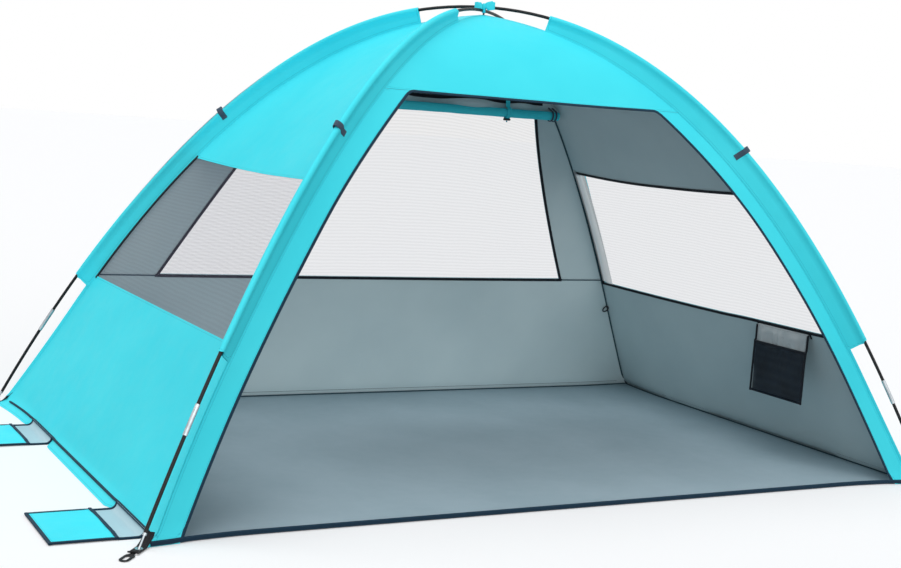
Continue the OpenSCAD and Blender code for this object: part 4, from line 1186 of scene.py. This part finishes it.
b = Build()
wrap = [hub_point(0, 0.0190 * boxy(c), HUB_Z + 0.0120 * boxy(d)) for c, d in arc(0, 360, 40)[:-1]]
b.ribbon(wrap, [(p - UP * HUB_Z).normalized() for p in wrap], 0.011, 0.0014, loop=True)
b.ribbon([UP * z for z in steps(PEAK - 0.0005, HUB_Z - 0.0112, 4)], vec(0, 1, 0), 0.006, 0.0014, 1)
for sign, long, tilt in ((-1, 0.028, -0.0010), (1, 0.033, 0.0030)):
    loop = smooth_line([hub_point(sign * a * long, n, BOW_Z + tilt * a) for a, n in BOW_LOOP], 7)
    widths = []
    for i in range(len(loop)):
        g = min(i, len(loop) - 1 - i) / (len(loop) / 2)
        widths.append(0.0085 + 0.0165 * ease(g * 2.2) * (1 - 0.25 * ease(g * 2 - 1)) + 0.0012 * sin(9 * i))
    b.ribbon(loop, [UP.cross(run).normalized() for run in runs(loop)], widths, 0.0013)
for spots in BOW_TAILS:
    tail = smooth_line([hub_point(a, n, BOW_Z + z) for a, n, z in spots], 6)
    b.ribbon(tail, TOWARD, [0.006 + 0.004 * ease(i / 10) for i in range(len(tail))], 0.0012)
b.tube([hub_point(0, 0.0222, BOW_Z + z) for z, r in KNOT], [r for z, r in KNOT], 12)
b.make("hub_bow", (canopy, black), ["hub_tie"])

# Elastic loops on the rear corner seams
LOOP_AT = vec(1.0215, 0.6654, 0.3238)
b = Build()
for flip in (vec(-1, 1, 1), vec(1, 1, 1)):
    ring = [vec(0.0122 * c, 0.0024 * c * d, 0.0092 * d + 0.0040 * c) for c, d in arc(0, 360, 28)[:-1]]
    b.tube([(LOOP_AT + q) * flip for q in ring], 0.0026, 10, True)
    tab = [vec(x + 0.0035, x * 0.6, 0.0088) for x in steps(-0.001, 0.0055, 4)]
    b.ribbon([(LOOP_AT + q) * flip for q in tab], UP, 0.006, 0.005)
b.make("corner_elastics", (black_cord,), ["corner_loops"])

# Rolled window cover and its ties
SAG = 0.001
SWAG = 0.030
ROLL_DROP = 0.0025
ROLL_R = 0.0166
CORE_R = 0.0045
TURNS = 3
TURN_STEPS = 78
TIE_R = 0.0190


def slack_at(x):
    """From 0 at a tie to 1 where the cloth between two ties is slackest."""
    x = abs(x)
    if x < TIE_X[0]:
        return sin(pi * clamp((x - 0.04) / (TIE_X[0] - 0.05), 0, 1)) ** 1.5
    if x < TIE_X[1]:
        return 0.5 * sin(pi * clamp((x - TIE_X[0] - 0.01) / 0.11, 0, 1))
    return 0.5 * ease((x - TIE_X[1]) / 0.078)


def roll_z(x):
    return ROLL_Z - ROLL_DROP - SAG * slack_at(x)


def rolled(x):
    """Line of the cover round its roll at one place along it, from its core to its outer turn."""
    pinch = min(abs(abs(x) - t) for t in TIE_X)
    tight = 1 - 0.09 * exp(-(pinch / 0.012) ** 2)
    out = []
    for g in steps(0, 1, TURN_STEPS):
        a = -2 * pi * TURNS * (1 - g)
        c = cos(a)
        d = sin(a)
        fold = ripple(x * 7, c * 1.2, d * 1.2 + g * 2)
        fold += 0.5 * ripple(x * 19, c * 2, d * 2 + g * 2)
        r = lerp(CORE_R, ROLL_R, g) * tight + 0.0012 * fold * g
        out.append(vec(x, ROLL_Y + r * c, roll_z(x) + r * d))
    return out


rows = []
seam = []
for f in spread(1, 120):
    x = f * ROLL_HALF
    row = rolled(x)
    last = row[-1]
    for g in steps(0, 1, 10)[1:]:
        wide = min(ROLL_HALF, HALF_W * s_at(lerp(last.z, COVER_Z, g)) - 0.009)
        sewn = end_point(1, s_at(COVER_Z + 0.006), f * wide, CLOTH + 0.0010)
        swag = SWAG * slack_at(x) * sin(pi * g ** 0.7) * (1 + 0.5 * ripple(x * 9, g * 2, 7))
        row.append(vec(f * wide, lerp(last.y, sewn.y, g) - swag, lerp(last.z, sewn.z, g)))
    seam.append(lerp(row[-6], row[-5], 0.3 + 0.7 * slack_at(x)) - vec(0, 0.0024, 0))
    rows.append(row)
b = Build()
b.sheet(rows, 0.0008, lambda p: vec(0, p.y - ROLL_Y, p.z - ROLL_Z))
seam = seam[5:-5]
# Black tape along the cover's top seam, wide at the ties and thin where the cloth sags: partly the seam's own
# tape, partly painted shade of the dark gap above the roll
b.ribbon(seam, vec(0, -1, 0), [0.0125 - 0.0095 * slack_at(p.x) for p in seam], 0.0014, 2)
obj = b.make("window_cover", (canopy, lining, black), ["window_cover_roll"])

# Each tie's place along the roll, the height it is sewn at, its width, thickness and material
TIES = ((TIE_X[0], 1.127, 0.016, 0.0011, 0), (0.472, 1.088, 0.0065, 0.0026, 1),
        (0.486, 1.088, 0.0065, 0.0026, 1))
BEAD = ((-0.0026, 0.0003), (-0.0022, 0.0014), (-0.001, 0.0025), (0.001, 0.0025), (0.0022, 0.0014),
        (0.0026, 0.0003))
b = Build()
for x_sign in (-1, 1):
    for x, top, wide, thick, mark in TIES:
        z = roll_z(x)
        ring = [vec(x_sign * x, ROLL_Y + TIE_R * c, z + TIE_R * d) for c, d in arc(-12, -265, 40)]
        ring.append(end_point(1, s_at(top), x_sign * x, CLOTH + 0.0012))
        b.ribbon(ring, [vec(0, p.y - ROLL_Y, p.z - z).normalized() for p in ring], wide, thick, mark)
    low = ROLL_Z - ROLL_DROP - TIE_R
    post = [vec(x_sign * TIE_X[0], ROLL_Y, low - d) for d in (-0.0005, 0.0030, 0.0080, 0.0110)]
    b.tube(post, 0.0013, 8)
    b.tube([post[-1] + UP * z for z, r in BEAD], [r for z, r in BEAD], 10)
b.make("cover_ties", (canopy, slate), ["roll_ties"])

# Hanging pocket on the right wall: a back that bends over the piping, a net in front and tape round it
HANG_DROP = 0.222
HANG_BEND = 0.00355
HANG_TOP = 0.006
NET_FACE = -HANG_BEND - 0.008
NET_TOP = -0.054
NET_HALF = 0.121
HANG_SIDE = 0.120
INWARD = vec(-1, 0, 0)


def hang_point(y, path, crumple):
    """Point of the pocket's back at a length along it: over the piping, then down."""
    arc_len = HANG_BEND * pi / 2
    if path < arc_len:
        a = pi / 2 + path / HANG_BEND
        return HANG + vec(HANG_BEND * cos(a), y, HANG_BEND * sin(a))
    return HANG + vec(-HANG_BEND - crumple, y, arc_len - path)


rows = []
for path in [0.0, 0.0018, 0.0036, *steps(0.0056, 0.0056 + HANG_DROP - HANG_TOP, 34)]:
    row = []
    for y in spread(HANG_HALF, 40):
        q = vec(y * 34, path * 9, 3.3)
        crease = abs(noise.noise(q)) * 0.0090 + abs(noise.noise(q * 2.3)) * 0.003
        calm = 1 if path < 0.30 * HANG_DROP else 0.35
        row.append(hang_point(y, path, crease * calm * ease((path - HANG_TOP) / 0.02)
                              * ease((HANG_HALF - abs(y)) / 0.02)))
    rows.append(row)
cloth("hanging_pocket_cloth", rows, (grey_cloth,), "hanging_pocket_back", 0.0007,
      lambda p: INWARD, "hanging_pocket")

rows = []
for z in steps(-HANG_DROP + 0.004, NET_TOP, 26):
    row = []
    for y in steps(-NET_HALF, NET_HALF - 0.012 * ease((-0.06 - z) / 0.12), 36):
        bulge = max(0, cos(pi * y / 0.25) * sin(pi * (z + HANG_DROP) / 0.17))
        wave = ripple(y * 12, z * 14, 1.0)
        edge = ease((NET_HALF - abs(y)) / 0.03)
        row.append(HANG + vec(NET_FACE + 0.004 * (1 - edge) - 0.003 * bulge - 0.0012 * wave * edge, y, z))
    rows.append(row)
cloth("hanging_pocket_net", rows, (dark_net,), "hanging_pocket_mesh", 0,
      lambda p: INWARD, "hanging_pocket")

b = Build()
for y in (-HANG_SIDE, HANG_SIDE):
    line = [HANG + vec(-0.0042, y, z) for z in steps(0.0, NET_TOP + 0.006, 8)]
    for z in steps(NET_TOP, -HANG_DROP + 0.001, 20):
        line.append(HANG + vec(NET_FACE + 0.005 - 0.001 * ease((-0.048 - z) / 0.05), y, z))
    b.ribbon(line, INWARD, 0.0090, 0.0030)
for z, x, turn_in in ((-HANG_DROP + 0.005, NET_FACE + 0.004, 0),
                      (NET_TOP - 0.001, NET_FACE - 0.0002, 0.0042)):
    line = [HANG + vec(x + turn_in * ease((abs(y) - 0.095) / 0.03), y, z) for y in spread(0.124, 30)]
    b.ribbon(line, INWARD, 0.0075, 0.0028)
b.make("hanging_pocket_binding", (black,), ["hanging_pocket_tape"], "hanging_pocket")

# Sand pockets along the side walls: a lower cloth from the hem cord, an upper cloth on it and tape round both
SAND_WRAP = 0.00455
SAND_BEND = 0.0168
LOWER_LONG = 0.219
LOWER_HALF = 0.1165
COVER_FROM = 0.070
COVER_LONG = 0.221
COVER_HALF = 0.118
SAND_TAPE_T = 0.0052
SAND_SIDE = 0.120


def sand_profile(to, off, start):
    """Line of the pocket's lower cloth from the hem cord to the ground and outwards, off its outer face."""
    out = [((SAND_WRAP - off) * c, (SAND_WRAP - off) * d) for c, d in arc(start, 0, 4)]
    centre = SAND_WRAP + SAND_BEND
    out += [(centre + (SAND_BEND + off) * c, (SAND_BEND + off) * d) for c, d in arc(180, 270, 12)[1:]]
    x, z = out[-1]
    return out + [(lerp(x, to, t), z) for t in steps(0, 1, 20)[1:]]


for end, side, flip, _ in CORNERS:
    name = f"{end}_{side}_sand"
    body = f"{name}_pocket"
    origin = vec(flip.x * HEM_X, SAND_Y[flip.y], HEM_Z)
    seed = 5.0 * flip.x + 11.0 * flip.y

    def sand_point(x, y, z):
        return origin + vec(flip.x * x, y, z)

    rows = []
    for y in spread(LOWER_HALF, 30):
        row = []
        for x, z in sand_profile(LOWER_LONG, 0.0, 25):
            lift = 0.0014 * (1 + ripple(x * 22 + seed, y * 18, 0.4))
            lift *= ease((x - 0.012) / 0.03) * ease((LOWER_LONG - x) / 0.03)
            row.append(sand_point(x, y, z + lift * ease((LOWER_HALF - abs(y)) / 0.02)))
        rows.append(row)
    cloth(f"{name}_lower_cloth", rows, (pale,), f"{name}_base", 0.0008,
          lambda p: vec(flip.x * 0.3, 0, 1), body)

    rows = []
    for x in steps(COVER_FROM, COVER_LONG, 26):
        row = []
        for y in spread(COVER_HALF, 34):
            inner = ease(min(COVER_LONG - x, COVER_HALF - abs(y)) / 0.05)
            puff = lerp(0.0048, 0.0072, inner) + 0.0008 * ease((0.105 - x) / 0.035)
            wave = 0.0010 * ripple(x * 16 + seed, y * 13, 2.0)
            row.append(sand_point(x, y, -HEM_Z + puff + wave * max(inner, 0.3)))
        rows.append(row)
    cloth(f"{name}_upper_cloth", rows, (canopy, pale), f"{name}_cover", 0.0009,
          lambda p: UP, body)

    b = Build()
    for y in (-SAND_SIDE, SAND_SIDE):
        line = []
        for x, z in sand_profile(0.2245, 0.0006, 1):
            line.append(sand_point(x, y, z + 0.0012 + 0.0020 * ease((x - 0.055) / 0.03)))
        normals = [vec(0, flip.x, 0).cross(run).normalized() for run in runs(line)]
        b.ribbon(line, normals, 0.0085, SAND_TAPE_T)
    c, d = arc(2, 2, 1)[0]
    line = [sand_point((SAND_WRAP + 0.0007) * c, y, (SAND_WRAP + 0.0007) * d) for y in spread(0.1235, 12)]
    b.ribbon(line, vec(flip.x * c, 0, d), 0.0043, 0.0011)
    for x, z, droop in ((0.2225, 0.0036, 0), (COVER_FROM, 0.0076, 0.0026)):
        line = [sand_point(x, y, -HEM_Z + z - droop * ease((abs(y) - 0.085) / 0.03))
                for y in spread(0.1245, 26)]
        b.ribbon(line, UP, 0.0095, SAND_TAPE_T)
    b.make(f"{name}_binding", (navy,), [f"{name}_tape"], body)

# Solid parts that keep their own shape
for node, material in (("foot_tips", steel), ("corner_eyelets", steel), ("left_toggle", plastic),
                       ("right_toggle", plastic), ("pole_cords", elastic)):
    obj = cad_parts[node]
    obj.data.materials.clear()
    obj.data.materials.append(material)

# Floor of the studio: white to the camera with the part's shadow on it, and a dim grey to the part
FLOOR_HALF = 60
GROUND_Z = -0.0008
WHITE = (1, 1, 1)
mesh = bpy.data.meshes.new("studio_floor")
corners = [vec(x * FLOOR_HALF, y * FLOOR_HALF, GROUND_Z) for x, y in ((-1, -1), (1, -1), (1, 1), (-1, 1))]
mesh.from_pydata(corners, [], [(0, 1, 2, 3)])
ground = bpy.data.objects.new("studio_floor", mesh)
bpy.context.scene.collection.objects.link(ground)
ground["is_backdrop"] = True
mat = bpy.data.materials.new("studio_floor")
f = Nodes(mat)
f.tree.nodes.clear()
paint = f.shade("ShaderNodeBsdfDiffuse", (0.97, 0.975, 0.985))
glow = f.shade("ShaderNodeEmission", WHITE, Strength=1.0)
bounce = f.shade("ShaderNodeBsdfDiffuse", (0.28, 0.28, 0.29))
f.node("ShaderNodeOutputMaterial", {0: f.blend(f.seen(), bounce, f.blend(0.12, paint, glow))})
mesh.materials.append(mat)

# White background, which lights the part only dimly
world = bpy.data.worlds.new("studio")
bpy.context.scene.world = world
f = Nodes(world)
f.tree.nodes.clear()
dim = f.shade("ShaderNodeBackground", (0.96, 0.98, 1.0), Strength=0.33)
white = f.shade("ShaderNodeBackground", WHITE, Strength=1.0)
f.node("ShaderNodeOutputWorld", {0: f.blend(f.seen(), dim, white)})


def lamp(name, come_from, spread, strength):
    data = bpy.data.lights.new(name, "SUN")
    data.angle = radians(spread)
    data.energy = strength
    obj = bpy.data.objects.new(name, data)
    obj.location = Vector(come_from) * 6
    obj.rotation_mode = "QUATERNION"
    obj.rotation_quaternion = (-Vector(come_from)).to_track_quat("-Z", "Y")
    bpy.context.scene.collection.objects.link(obj)


lamp("key_lamp", (-0.30, 0.10, 0.95), 60, 1.7)
lamp("fill_lamp", (-0.12, -0.94, 0.32), 75, 1.55)

bpy.context.scene.view_settings.view_transform = "Standard"

low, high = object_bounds()
